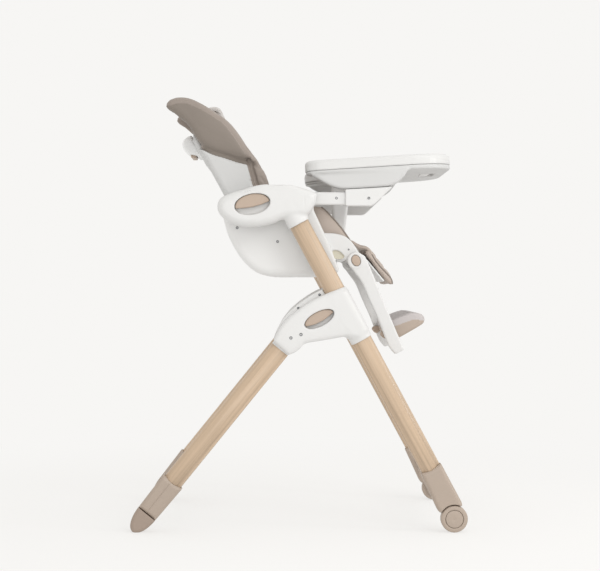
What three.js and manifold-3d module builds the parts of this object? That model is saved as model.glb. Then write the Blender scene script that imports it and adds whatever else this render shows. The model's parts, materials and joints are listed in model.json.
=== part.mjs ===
// A folding baby high chair, as an assembly of separate pieces.
// Millimetres. +X is forward (the tray and footplate side), +Y is the child's left, +Z is up.
// The origin is on the floor, under the middle of the chair's bounding box.
// Outlines are drawn in the side view as [x, z]. Y is measured outwards from the middle,
// so a left piece is drawn as it stands and its right twin is its mirror image.
import * as THREE from 'three';
import { mergeVertices } from 'three/addons/utils/BufferGeometryUtils.js';
import Module from 'manifold-3d';

const wasm = await Module();
wasm.setup();

// ---- Driving dimensions -------------------------------------------------------------------

const GAP = 0.3; // between pieces that touch
const RUNNING_GAP = 0.5; // round a piece that slides or turns

// Legs: oval tubes that lean in the side view. A leg has a known point on its axis.
const LEG_Y = 265;
const LEG_WIDTH = 48;
const LEG_DEPTH = 30;
const FRONT_LEG = { at: [0.7, 731.7], lean: 28.3, top: -84, bottom: 715 };
const REAR_LEG = { at: [-42.8, 437.2], lean: -39, top: 4, bottom: 470 };

// Fold housings: two shells a side, clamped round the front leg.
const FOLD_PIVOT = [-22, 463];
const FOLD_ANGLE = 62;
const FOLD_OUTER_Y = [LEG_Y + GAP, 290];
const FOLD_INNER_Y = [240, LEG_Y - GAP];
const FOLD_COLLAR = { top: 181, bottom: 314, half: 27 }; // along the front leg
const KNUCKLE_RADIUS = 25;
const PIN_RADIUS = 5;

// Feet and wheels.
const FOOT_Y = [246, 284];
const FRONT_FOOT_TOP = 659; // along the front leg
const WHEEL = { at: [368.7, 32], radius: 32, y: [255, 283], hub: 21 };
const REAR_FOOT = { top: 408, split: 505.5, width: 56, splitWidth: 51, tip: 55.3 };
const CROSSBAR_RADIUS = 13;

// Seat carriage: armrest housings on the legs, side frames inside them, the shell between.
const ARMREST_Y = [236, 290];
const SIDE_FRAME_Y = [200.4, 235.6];
const FENDER_Y = [200.4, 209];
const TRAY_ARM_Y = [216, 234];
const SHELL_HALF = 200;
const SHELL_WALL = 5;
const SEAT_WING_Y = [168.5, 192];
const RECLINE_PIVOT = [-90, 650];

// Backrest, on a line that leans back.
const BACK_LEAN = 28.7;
const BACK_AT = [-189, 816]; // a point on the rear face
const BACK_SHELL_HALF = 167;
const BACK_WALL = 4;
const BACK_PAD = 28;
const HOOD_HALF = 176;

// Legrest.
const LEGREST_PIVOT = [137.3, 646.1];
const LEGREST_ARM_Y = [209.5, 221.5];
const LEGREST_RING = 20.7;
const LEG_PAD_HALF = 165;

// Tray: drawn in plan in a frame that tips up towards the front.
const TRAY_AT = [17, 836];
const TRAY_TILT = 3.7;
const TRAY_LENGTH = 363;
const TRAY_HALF = 250;
const TRAY_SPLIT = 24; // height of the joint between the base and the removable top
const TRAY_HEIGHT = 49;
const TRAY_KEEL = { height: 852.2, slope: 0.0496 }; // the base's underside, at x = 0
const BRACKET_Y = [211, 239];
const TRAY_TRAVEL = 50;

// Levers: a face plate with an oval window, a pocket behind it, and the lever in the pocket.
const WINDOW_FACE = 3.5; // thickness of the face plate
const POCKET_DEPTH = 18; // from the outer face
const LEVER_TRAVEL = 6;
const LEVER_PLAY = 0.9; // at each end of the window
const ARMREST_WINDOW = { at: [-110.5, 778.4], a: 42.4, b: 24, tilt: 11.7, chord: -5 };
const FOLD_WINDOW = { at: [48.2, 506.5], a: 38, b: 17, tilt: 27, chord: -1 };

// ---- Drawing helpers ----------------------------------------------------------------------

const { degToRad } = THREE.MathUtils;
const MIDDLE = 0.5;

// A closed outline through straight-sided corners, each rounded by its own or the given radius.
function rounded(corners, radius) {
  const shape = new THREE.Shape();
  corners.forEach(([x, z, own = radius], i) => {
    const corner = new THREE.Vector2(x, z);
    const towards = (other) => {
      const end = new THREE.Vector2(other[0], other[1]);
      const share = Math.min(own / corner.distanceTo(end), MIDDLE - 0.01);
      return corner.clone().lerp(end, share);
    };
    const enter = towards(corners.at(i - 1));
    const leave = towards(corners[(i + 1) % corners.length]);
    if (i === 0) shape.moveTo(enter.x, enter.y);
    else shape.lineTo(enter.x, enter.y);
    shape.quadraticCurveTo(x, z, leave.x, leave.y);
  });
  shape.closePath();
  return shape;
}

function polygon(corners) {
  return new THREE.Shape(corners.map(([x, z]) => new THREE.Vector2(x, z)));
}

function disc([x, z], radius) {
  return new THREE.Shape().absarc(x, z, radius, 0, 2 * Math.PI);
}

function oval([x, z], a, b, tilt = 0) {
  return new THREE.Shape().absellipse(x, z, a, b, 0, 2 * Math.PI, false, degToRad(tilt));
}

// Extrudes a side-view outline across the chair, from y = low to y = high.
function slab(shape, [low, high], { bevel = 0, curve = 3 } = {}) {
  const geometry = new THREE.ExtrudeGeometry(shape, {
    depth: high - low - 2 * bevel,
    bevelEnabled: bevel > 0,
    bevelSize: bevel,
    bevelOffset: -bevel,
    bevelThickness: bevel,
    bevelSegments: 1,
    curveSegments: curve,
  });
  geometry.rotateX(Math.PI / 2);
  geometry.translate(0, high - bevel, 0);
  return geometry;
}

// The same slab on both sides of the middle at once.
function wide(shape, half, options) {
  return slab(shape, [-half, half], options);
}

// A round rod across the chair.
function rod([x, z], radius, [low, high], segments = 16) {
  const geometry = new THREE.CylinderGeometry(radius, radius, high - low, segments);
  geometry.translate(x, (low + high) / 2, z);
  return geometry;
}

// A point on a leg: a distance down its axis, and an offset across it (positive is forward).
function onLeg({ at, lean }, along, across = 0) {
  const angle = degToRad(lean);
  return [
    at[0] + along * Math.sin(angle) + across * Math.cos(angle),
    at[1] - along * Math.cos(angle) + across * Math.sin(angle),
  ];
}

// An oval bar on a leg's axis, between two distances down it.
function legBar(leg, from, to, width, depth, segments = 10) {
  const geometry = new THREE.ExtrudeGeometry(oval([0, 0], width / 2, depth / 2), {
    depth: to - from,
    bevelEnabled: false,
    curveSegments: segments,
  });
  const angle = degToRad(leg.lean);
  const across = new THREE.Vector3(Math.cos(angle), 0, Math.sin(angle));
  const side = new THREE.Vector3(0, -1, 0);
  const down = new THREE.Vector3(Math.sin(angle), 0, -Math.cos(angle));
  geometry.applyMatrix4(new THREE.Matrix4().makeBasis(across, side, down));
  const [x, z] = onLeg(leg, from);
  geometry.translate(x, LEG_Y, z);
  return geometry;
}

// Four corners of a band along a leg, in the side view.
function legBand(leg, from, to, back, front) {
  return [
    onLeg(leg, from, back),
    onLeg(leg, to, back),
    onLeg(leg, to, front),
    onLeg(leg, from, front),
  ];
}

// A point on the backrest's lean: at a height, and in front of the rear face.
function onBack(height, forward = 0) {
  const angle = degToRad(BACK_LEAN);
  return [
    BACK_AT[0] - (height - BACK_AT[1]) * Math.tan(angle) + forward * Math.cos(angle),
    height + forward * Math.sin(angle),
  ];
}

// ---- Joining and cutting ------------------------------------------------------------------

function solidOf(geometry) {
  const bare = geometry.clone();
  bare.deleteAttribute('normal');
  bare.deleteAttribute('uv');
  const merged = mergeVertices(bare, 1e-4);
  return new wasm.Manifold(
    new wasm.Mesh({
      numProp: 3,
      vertProperties: merged.attributes.position.array,
      triVerts: new Uint32Array(merged.index.array),
    }),
  );
}

function geometryOf(solid) {
  const { vertProperties, triVerts } = solid.getMesh();
  const geometry = new THREE.BufferGeometry();
  geometry.setAttribute('position', new THREE.BufferAttribute(vertProperties, 3));
  geometry.setIndex(new THREE.BufferAttribute(triVerts, 1));
  geometry.computeVertexNormals();
  return geometry;
}

function join(...geometries) {
  return geometryOf(geometries.map(solidOf).reduce((whole, next) => whole.add(next)));
}

function cut(geometry, ...cutters) {
  return geometryOf(cutters.map(solidOf).reduce((rest, next) => rest.subtract(next), solidOf(geometry)));
}

function overlapOf(geometry, other) {
  return geometryOf(solidOf(geometry).intersect(solidOf(other)));
}

// ---- Materials ----------------------------------------------------------------------------

function plastic(color, roughness) {
  return new THREE.MeshStandardMaterial({ color, roughness, metalness: 0 });
}

const WHITE = plastic(0xefeeeb, 0.42);
const TAUPE = plastic(0xb7a497, 0.5);
const TAN = plastic(0xcdb19a, 0.48);
const WOOD = plastic(0xd9b992, 0.55);
const LEATHERETTE = plastic(0xa3958a, 0.6);
const WEBBING = plastic(0xd8d0c6, 0.85);
const RUBBER = plastic(0xa8968a, 0.75);
const STEEL = new THREE.MeshStandardMaterial({ color: 0xb8babd, roughness: 0.3, metalness: 0.9 });

// ---- Scene graph --------------------------------------------------------------------------

const chair = new THREE.Group();
chair.name = 'high_chair';
const leftSide = new THREE.Group();
const rightSide = new THREE.Group();
rightSide.scale.y = -1;
chair.add(leftSide, rightSide);

function add(name, geometry, material) {
  const mesh = new THREE.Mesh(geometry, material);
  mesh.name = name;
  chair.add(mesh);
}

function addPair(name, geometry, material) {
  for (const [side, word] of [[rightSide, 'right'], [leftSide, 'left']]) {
    const mesh = new THREE.Mesh(geometry, material.clone());
    mesh.name = `${name}_${word}`;
    side.add(mesh);
  }
}

// ---- Levers in oval windows ---------------------------------------------------------------

// The direction a lever is squeezed in: square to its lower edge.
function squeeze({ tilt }) {
  const angle = degToRad(tilt);
  return [-Math.sin(angle), Math.cos(angle)];
}

function shifted({ at, tilt }, distance) {
  const [x, z] = squeeze({ tilt });
  return [at[0] + x * distance, at[1] + z * distance];
}

// What is taken out of a housing: the window, and the pocket behind it with room above.
function windowCutters(frame, face) {
  const { a, b, tilt } = frame;
  const behind = [face - POCKET_DEPTH, face - WINDOW_FACE];
  const spare = 2;
  const options = { curve: 7 };
  return [
    slab(oval(frame.at, a, b, tilt), [behind[0], face + 1], options),
    slab(oval(shifted(frame, LEVER_TRAVEL + 1), a + spare, b + spare, tilt), behind, options),
  ];
}

// The lever fills the window above its chord, and runs on behind the face plate.
function lever(frame, face) {
  const { a, b, tilt, chord } = frame;
  const back = face - POCKET_DEPTH + 2;
  const y = [back, face - WINDOW_FACE - RUNNING_GAP];
  const body = slab(oval(shifted(frame, GAP), a - LEVER_PLAY, b + 1, tilt), y, { curve: 7 });
  const low = shifted(frame, chord - 2 * b);
  const angle = degToRad(tilt);
  const [ux, uz] = [Math.cos(angle), Math.sin(angle)];
  const [nx, nz] = squeeze(frame);
  const corner = (along, up) => [low[0] + ux * along + nx * up, low[1] + uz * along + nz * up];
  const lowerHalf = polygon([
    corner(-2 * a, 0),
    corner(2 * a, 0),
    corner(2 * a, 2 * b),
    corner(-2 * a, 2 * b),
  ]);
  return cut(body, slab(lowerHalf, [back - 1, face]));
}

// ---- Front frame: legs, fold housings, feet -----------------------------------------------

function frontFrame() {
  const { top, bottom } = FRONT_LEG;
  addPair('front_leg', legBar(FRONT_LEG, top, bottom, LEG_WIDTH, LEG_DEPTH), WOOD);

  const { top: collarTop, bottom: collarBottom, half } = FOLD_COLLAR;
  const upperEdge = [[28, 550, 8], [1, 532, 8], [-26, 510, 8], [-44, 490, 8], [-54, 472, 8]];
  const lowerEdge = [
    [-61.7, 454, 6],
    [-24.4, 420, 6],
    [-2.6, 430, 8],
    [15.7, 450, 10],
    [79, 459, 10],
    [106, 465, 10],
  ];
  const collar = [
    [...onLeg(FRONT_LEG, collarBottom - 8, 0), 12],
    [...onLeg(FRONT_LEG, collarBottom - 16, half - 3), 12],
    [...onLeg(FRONT_LEG, collarTop + 12, half - 3), 12],
    [...onLeg(FRONT_LEG, collarTop + 5, 0), 12],
  ];
  const sleeve = legBar(FRONT_LEG, collarTop, collarBottom, 2 * half, LEG_DEPTH + 9);
  const sleeveHalf = (y) => overlapOf(sleeve, slab(polygon(legBand(
    FRONT_LEG,
    collarTop - 10,
    collarBottom + 10,
    -2 * half,
    2 * half,
  )), y));
  const outer = rounded([...lowerEdge, ...collar, [50, 561, 8], ...upperEdge], 6);
  const innerEdge = [[54, 577, 6], [28, 563, 8], [1, 544.5, 8], [-26, 521, 8], [-46, 495, 8]];
  const inner = rounded([...lowerEdge, ...collar, ...innerEdge, [-57, 472, 8]], 6);

  const clearance = [
    legBar(FRONT_LEG, top, bottom, LEG_WIDTH + 2 * GAP, LEG_DEPTH + 2 * GAP),
    ...knuckleRoom(),
    rod(FOLD_PIVOT, PIN_RADIUS + GAP, [FOLD_INNER_Y[0] - 1, FOLD_OUTER_Y[1] + 1], 16),
  ];
  const outerShell = slab(outer, FOLD_OUTER_Y, { bevel: 4, curve: 2 });
  const squareBack = slab(outer, [FOLD_OUTER_Y[0], FOLD_OUTER_Y[0] + 10], { curve: 2 });
  addPair(
    'fold_housing_outer',
    cut(
      join(outerShell, squareBack, sleeveHalf(FOLD_OUTER_Y)),
      ...clearance,
      ...windowCutters(FOLD_WINDOW, FOLD_OUTER_Y[1]),
    ),
    WHITE,
  );
  const innerShell = slab(inner, FOLD_INNER_Y, { bevel: 3, curve: 2 });
  const squareFront = slab(inner, [FOLD_INNER_Y[1] - 10, FOLD_INNER_Y[1]], { curve: 2 });
  addPair(
    'fold_housing_inner',
    cut(join(innerShell, squareFront, sleeveHalf(FOLD_INNER_Y)), ...clearance),
    WHITE,
  );
  addPair('fold_pivot_pin', rod(FOLD_PIVOT, PIN_RADIUS, [FOLD_INNER_Y[0] - 2, 288.5], 16), STEEL);

  frontFeet();
}

// The room between the shells that the knuckle and the rear leg's top swing through.
function knuckleRoom() {
  const half = KNUCKLE_RADIUS + 1.5;
  const reach = 150;
  const y = [LEG_Y - LEG_DEPTH / 2 - RUNNING_GAP, LEG_Y + LEG_DEPTH / 2 + RUNNING_GAP];
  const ray = (lean, along, across) => onLeg({ at: FOLD_PIVOT, lean }, along, across);
  const open = REAR_LEG.lean;
  const folded = REAR_LEG.lean + FOLD_ANGLE;
  const middle = (open + folded) / 2;
  const sweep = polygon([
    ray(open, 0, -half),
    ray(open, reach, -half),
    ray(middle, reach * 1.3, 0),
    ray(folded, reach, half),
    ray(folded, 0, half),
  ]);
  return [slab(disc(FOLD_PIVOT, half), y, { curve: 9 }), slab(sweep, y)];
}

function frontFeet() {
  const { at, radius, y: wheelY } = WHEEL;
  const half = 27;
  const flare = [
    onLeg(FRONT_LEG, FRONT_FOOT_TOP, -half),
    [332.5, 44.5],
    [at[0], at[1] + 14],
    [390.4, 61.8],
    onLeg(FRONT_LEG, FRONT_FOOT_TOP, half),
  ];
  const body = slab(polygon(flare), FOOT_Y, { bevel: 4 });
  const cheekY = [FOOT_Y[0], wheelY[0] - 1];
  const cheek = slab(disc(at, 20), cheekY, { curve: 8 });
  const strut = slab(polygon(legBand({ at, lean: FRONT_LEG.lean }, -50, 0, -18, 18)), cheekY);
  const wheelRoom = rod(at, radius + 2.5, [cheekY[1], FOOT_Y[1] + 1], 40);
  const legRoom = legBar(
    FRONT_LEG,
    FRONT_FOOT_TOP - 5,
    FRONT_LEG.bottom + GAP,
    LEG_WIDTH + 2 * GAP,
    LEG_DEPTH + 2 * GAP,
  );
  const bore = rod(at, PIN_RADIUS + GAP, [FOOT_Y[0] - 1, FOOT_Y[1] + 1], 16);
  addPair('front_foot_sleeve', cut(join(cut(body, wheelRoom), cheek, strut), legRoom, bore), TAUPE);
  addPair('wheel_axle', rod(at, PIN_RADIUS, [FOOT_Y[0] + 0.5, wheelY[1] - 4], 16), STEEL);

  const barAt = onLeg(FRONT_LEG, FRONT_LEG.bottom - 12);
  add('front_crossbar', rod(barAt, CROSSBAR_RADIUS, [GAP - FOOT_Y[0], FOOT_Y[0] - GAP], 24), WHITE);
}

// ---- Wheels -------------------------------------------------------------------------------

// Turned about the axle; the outer face is recessed for its hub cap.
function wheels() {
  const { at, radius, y, hub } = WHEEL;
  const chamfer = 3;
  const recess = 3;
  const bore = PIN_RADIUS + GAP;
  const turn = (profile) => {
    const geometry = new THREE.LatheGeometry(profile.map(([r, h]) => new THREE.Vector2(r, h)), 28);
    geometry.translate(at[0], 0, at[1]);
    return geometry;
  };
  const wheel = turn([
    [bore, y[0]],
    [radius - chamfer, y[0]],
    [radius, y[0] + chamfer],
    [radius, y[1] - chamfer],
    [radius - chamfer, y[1]],
    [hub, y[1]],
    [hub, y[1] - recess],
    [bore, y[1] - recess],
    [bore, y[0]],
  ]);
  addPair('wheel', wheel, RUBBER);
  const cap = turn([
    [0, y[1] - recess + GAP],
    [hub - GAP, y[1] - recess + GAP],
    [hub - GAP, y[1] - 0.5],
    [hub - 1.5, y[1]],
    [0, y[1]],
  ]);
  addPair('wheel_cap', cap, TAUPE);
}

// ---- Rear legs ----------------------------------------------------------------------------

function rearLegs() {
  const spigot = { end: 42, width: 38, depth: 20 };
  const { top, bottom } = REAR_LEG;
  const tube = legBar(REAR_LEG, top, bottom, LEG_WIDTH, LEG_DEPTH);
  const socket = legBar(
    REAR_LEG,
    top - 1,
    spigot.end + 1,
    spigot.width + 2 * GAP,
    spigot.depth + 2 * GAP,
  );
  addPair('rear_leg', cut(tube, socket), WOOD);

  const knuckleY = [LEG_Y - LEG_DEPTH / 2, LEG_Y + LEG_DEPTH / 2];
  const head = slab(disc(FOLD_PIVOT, KNUCKLE_RADIUS), knuckleY, { curve: 9 });
  const neck = legBar(REAR_LEG, -32, top - GAP, LEG_WIDTH, LEG_DEPTH);
  const tongue = legBar(REAR_LEG, top - 2, spigot.end, spigot.width, spigot.depth);
  const pinBore = rod(FOLD_PIVOT, PIN_RADIUS + GAP, [knuckleY[0] - 1, knuckleY[1] + 1], 16);
  addPair('rear_knuckle', cut(join(head, neck, tongue), pinBore), WHITE);

  const { top: footTop, split, width, splitWidth, tip } = REAR_FOOT;
  const sleeve = slab(
    polygon([
      onLeg(REAR_LEG, footTop, -width / 2),
      onLeg(REAR_LEG, split, -splitWidth / 2),
      onLeg(REAR_LEG, split, splitWidth / 2),
      onLeg(REAR_LEG, footTop, width / 2),
    ]),
    FOOT_Y,
    { bevel: 4 },
  );
  const legRoom = legBar(
    REAR_LEG,
    footTop - 5,
    bottom + GAP,
    LEG_WIDTH + 2 * GAP,
    LEG_DEPTH + 2 * GAP,
  );
  addPair('rear_foot_sleeve', cut(sleeve, legRoom), TAUPE);

  // The tip is half an oval in the side view, cut flat where it stands on the floor.
  const [tipX, tipZ] = onLeg(REAR_LEG, split);
  const whole = slab(
    oval([tipX, tipZ], splitWidth / 2, tip, REAR_LEG.lean),
    FOOT_Y,
    { bevel: 3, curve: 12 },
  );
  const lower = legBand(REAR_LEG, split + GAP, split + tip + 5, -40, 40);
  const floorUp = polygon([[-450, 0], [-250, 0], [-250, 120], [-450, 120]]);
  const inTip = overlapOf(slab(polygon(lower), FOOT_Y), slab(floorUp, FOOT_Y));
  addPair('rear_foot_tip', overlapOf(whole, inTip), RUBBER);

  const barAt = onLeg(REAR_LEG, footTop + 30);
  add('rear_crossbar', rod(barAt, CROSSBAR_RADIUS, [GAP - FOOT_Y[0], FOOT_Y[0] - GAP], 24), WHITE);
}

// ---- Seat carriage ------------------------------------------------------------------------

function armrests() {
  const half = 25.5;
  const outline = rounded([
    [-195, 766, 12],
    [-192, 792, 12],
    [-165, 806, 12],
    [-113, 820, 14],
    [-71, 827.5, 14],
    [-24, 827, 14],
    [44, 809, 12],
    [34, 775, 14],
    [18, 752, 14],
    [-30, 742, 14],
    [-64, 733, 12],
    [-103, 724, 12],
    [-150, 728, 14],
    [-184, 746, 12],
  ], 10);
  const legRoom = legBar(
    FRONT_LEG,
    FRONT_LEG.top - 60,
    10,
    LEG_WIDTH + 2 * RUNNING_GAP,
    LEG_DEPTH + 2 * RUNNING_GAP,
  );
  const collar = legBar(FRONT_LEG, -70, 0, 2 * half, LEG_DEPTH + 10);
  const body = join(slab(outline, ARMREST_Y, { curve: 3 }), collar);
  addPair(
    'armrest_housing',
    cut(body, legRoom, ...windowCutters(ARMREST_WINDOW, ARMREST_Y[1])),
    WHITE,
  );
}

// Rail beside the leg, fender over the legrest hinge, and the arm that carries the tray.
function sideFrames() {
  const rail = polygon([
    [-80, 795],
    [-80, 752],
    [-38, 752],
    [-12, 728],
    [22, 668],
    [50, 614],
    [90, 614],
    [97, 624],
    [61, 712],
    [35, 768],
    [35, 805],
    [-20, 805],
  ]);
  const fender = rounded([
    [40, 700],
    [58, 713],
    [86, 713, 14],
    [113, 706, 14],
    [132, 688, 14],
    [152, 655, 10],
    [148, 632, 10],
    [128, 628, 8],
    [113, 650, 6],
    [70, 646],
    [50, 660],
  ], 4);
  const recess = rounded([[80, 670], [97, 670], [110, 659], [107, 653], [84, 653]], 4);
  const arm = polygon([[30, 779.6], [122, 779.6], [150, 810.7], [30, 810.7]]);
  const frame = join(
    slab(rail, SIDE_FRAME_Y),
    slab(fender, FENDER_Y, { curve: 3 }),
    slab(arm, TRAY_ARM_Y),
  );
  const pinBore = rod(LEGREST_PIVOT, 6 + GAP, [FENDER_Y[0] - 1, FENDER_Y[1] + 1], 16);
  const window = slab(recess, [FENDER_Y[0] - 1, FENDER_Y[1] + 1], { curve: 3 });
  addPair('side_frame', cut(frame, pinBore, window), WHITE);
}

// A bucket of thin walls: side cheeks, floor and low rear wall, with a shelf in front.
function seatShell() {
  const outline = rounded([
    [-189, 770, 2],
    [-183, 746, 10],
    [-174, 710, 10],
    [-157, 676, 10],
    [-141, 650, 10],
    [-122, 630, 10],
    [-99, 614, 14],
    [-66, 608, 14],
    [78, 608, 10],
    [90, 622, 6],
    [93, 650, 4],
    [121, 650, 2],
    [121, 668, 4],
    [60, 690, 6],
    [50, 714, 6],
    [25, 770, 2],
  ], 4);
  const hollow = rounded([
    [-184, 790, 2],
    [-178, 746, 10],
    [-169, 712, 10],
    [-152.5, 679.5, 10],
    [-137, 653.5, 10],
    [-119, 635, 10],
    [-97, 619.5, 14],
    [-66, 613, 14],
    [76, 613, 8],
    [85, 624, 6],
    [87, 655, 3],
    [130, 655, 1],
    [130, 790, 1],
  ], 4);
  const rearGap = polygon([[-205, 690], [-130, 690], [-130, 790], [-205, 790]]);
  const inside = SHELL_HALF - SHELL_WALL;
  add('seat_shell', cut(
    wide(outline, SHELL_HALF, { curve: 2 }),
    wide(hollow, inside, { curve: 2 }),
    wide(rearGap, inside),
    rod(RECLINE_PIVOT, PIN_RADIUS + GAP, [-SHELL_HALF - 1, SHELL_HALF + 1], 16),
  ), WHITE);
  const pan = polygon([
    [-46, 624],
    [82, 650.5],
    [87.5, 655.4],
    [120, 655.4],
    [120, 659.4],
    [86, 659.4],
    [80, 655],
    [-46, 628.5],
  ]);
  add('seat_pan', wide(pan, inside - GAP), WHITE);
  add('recline_axle', rod(RECLINE_PIVOT, PIN_RADIUS, [2 - SHELL_HALF, SHELL_HALF - 2], 16), STEEL);
}

function seatCushion() {
  const pad = rounded([
    [-46, 629.2, 3],
    [79, 656.6, 2],
    [85, 661, 2],
    [124, 661, 4],
    [129, 676, 8],
    [126, 694, 8],
    [110, 700, 10],
    [50, 688, 20],
    [-40, 662, 8],
  ], 4);
  const wing = rounded([
    [-44, 645, 6],
    [124, 668, 6],
    [128, 698, 12],
    [108, 725, 12],
    [80, 757, 12],
    [57, 781, 12],
    [-36, 781, 16],
    [-46, 700, 10],
  ], 8);
  add('seat_cushion', join(
    wide(pad, SEAT_WING_Y[1], { curve: 3 }),
    slab(wing, SEAT_WING_Y, { curve: 2 }),
    slab(wing, [-SEAT_WING_Y[1], -SEAT_WING_Y[0]], { curve: 2 }),
  ), LEATHERETTE);
  const buckle = rounded([[-6, 680.5], [-6, 676], [26, 685], [26, 694], [4, 690]], 2);
  add('crotch_buckle', wide(buckle, 16), WHITE);
}

// ---- Backrest -----------------------------------------------------------------------------

// The hood's lower edge, where the cover ends over the shell, from the rear forwards.
const HOOD_EDGE = [[-249, 939], [-232, 925], [-206, 913], [-180.5, 906], [-146, 894], [-122, 888]];

function backrest() {
  const below = 1;
  const edge = HOOD_EDGE.slice(1).map(([x, z]) => [x, z - below, 3]);
  const side = rounded([
    [-114, 652, 8],
    onBack(700),
    onBack(816),
    onBack(922),
    ...edge,
    [-107.5, 834],
    [-84, 770],
    [-60, 700, 14],
    [-66, 640, 10],
    [-100, 636, 10],
  ], 2);
  const inside = polygon([
    onBack(600, BACK_WALL),
    onBack(1060, BACK_WALL),
    [100, 1060],
    [100, 600],
  ]);
  const tongueTop = 966;
  const tongue = polygon([
    onBack(900),
    onBack(tongueTop),
    onBack(tongueTop, BACK_WALL),
    onBack(900, BACK_WALL),
  ]);
  const inner = BACK_SHELL_HALF - BACK_WALL;
  const bore = rod(RECLINE_PIVOT, PIN_RADIUS + GAP, [-BACK_SHELL_HALF - 1, BACK_SHELL_HALF + 1], 16);
  const shell = cut(
    join(
      cut(wide(side, BACK_SHELL_HALF, { curve: 2 }), wide(inside, inner)),
      wide(tongue, 58),
      wide(headPlate(0), 148),
    ),
    bore,
  );
  add('backrest_shell', shell, WHITE);
  backCushion();
  reclineHandle();
  harness();
}

// The plate that stands up inside the hood and stiffens the headrest.
function headPlate(room) {
  return polygon([
    onBack(886, 0.5 - room),
    onBack(1004 + room, 12 - room),
    onBack(1004 + room, 16 + room),
    onBack(886, BACK_WALL + room),
  ]);
}

function backCushion() {
  const hood = rounded([
    ...HOOD_EDGE,
    [-106, 881, 6],
    [-92, 881, 6],
    [-97, 891, 6],
    [-129, 935.5],
    [-163, 983, 20],
    [-210, 1020, 20],
    [-249, 1041, 20],
    [-283.5, 1050.5, 16],
    [-318, 1043, 12],
    [-329, 1027, 10],
    [-309, 1008],
    [-278, 982],
    [-262, 962],
  ], 6);
  const body = rounded([
    onBack(690, BACK_WALL + GAP),
    onBack(930, BACK_WALL + GAP),
    [-180, 930],
    [-105, 895],
    [-74, 848, 10],
    [-62, 790],
    [-46, 715, 12],
    [-70, 690, 10],
  ], 2);
  const face = BACK_WALL + BACK_PAD;
  const child = polygon([
    onBack(640, face),
    onBack(1002, face),
    onBack(1024, face + 12),
    [-200, 1080],
    [60, 1080],
    [60, 640],
  ]);
  const plateRoom = wide(headPlate(0.6), 149);
  const wallRoom = wide(polygon([
    onBack(860, -20),
    onBack(970, -20),
    onBack(970, BACK_WALL + GAP),
    onBack(860, BACK_WALL + GAP),
  ]), 60);
  const bodyHalf = BACK_SHELL_HALF - BACK_WALL - RUNNING_GAP;
  const cushion = cut(
    join(wide(hood, HOOD_HALF, { curve: 3 }), wide(body, bodyHalf, { curve: 2 })),
    wide(child, 140),
    plateRoom,
    wallRoom,
    shellRoom(),
  );
  add('back_cushion', cushion, LEATHERETTE);
}

// The shell's side walls and rear wall with a little room, for cutting the cushion clear.
function shellRoom() {
  const outline = polygon([
    onBack(640, -10),
    onBack(925.5, -10),
    ...HOOD_EDGE.slice(1).map(([x, z]) => [x, z - 0.4]),
    [-106.5, 834],
    [-83, 770],
    [-59, 700],
    [-60, 630],
  ]);
  const inner = BACK_SHELL_HALF - BACK_WALL - RUNNING_GAP + 0.1;
  const core = polygon([
    onBack(600, BACK_WALL + GAP),
    onBack(960, BACK_WALL + GAP),
    [0, 960],
    [0, 600],
  ]);
  return cut(wide(outline, HOOD_HALF + 5), wide(core, inner));
}

// A bar across the back of the shell, with the recline trigger in its underside.
function reclineHandle() {
  const gap = -GAP - 0.1;
  const bar = rounded([
    onBack(966, gap),
    [-288, 960, 10],
    [-297, 946, 10],
    [-292, 926, 8],
    [-279, 917, 4],
    [-256, 913, 3],
    onBack(910, gap),
  ], 5);
  const slot = polygon([[-275, 900], [-260.5, 900], [-260.5, 927], [-275, 927]]);
  add('recline_handle', cut(wide(bar, 56, { curve: 3 }), wide(slot, 40)), WHITE);
  const trigger = rounded([[-274, 909], [-261.5, 909], [-261.5, 920], [-274, 920]], 3);
  add('recline_trigger', wide(trigger, 39, { curve: 2 }), TAN);
}

// Shoulder straps on the back pad, with a padded stretch.
function harness() {
  const face = BACK_WALL + BACK_PAD + 0.4;
  const strap = polygon([
    onBack(760, face),
    onBack(1000, face),
    onBack(1000, face + 2.5),
    onBack(760, face + 2.5),
  ]);
  const pad = polygon([
    onBack(850, face),
    onBack(980, face),
    onBack(980, face + 9),
    onBack(850, face + 9),
  ]);
  const middle = 48;
  const geometry = join(
    slab(strap, [middle - 12, middle + 12]),
    slab(pad, [middle - 24, middle + 24]),
  );
  addPair('harness_strap', geometry, WEBBING);
}

// ---- Legrest ------------------------------------------------------------------------------

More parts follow.
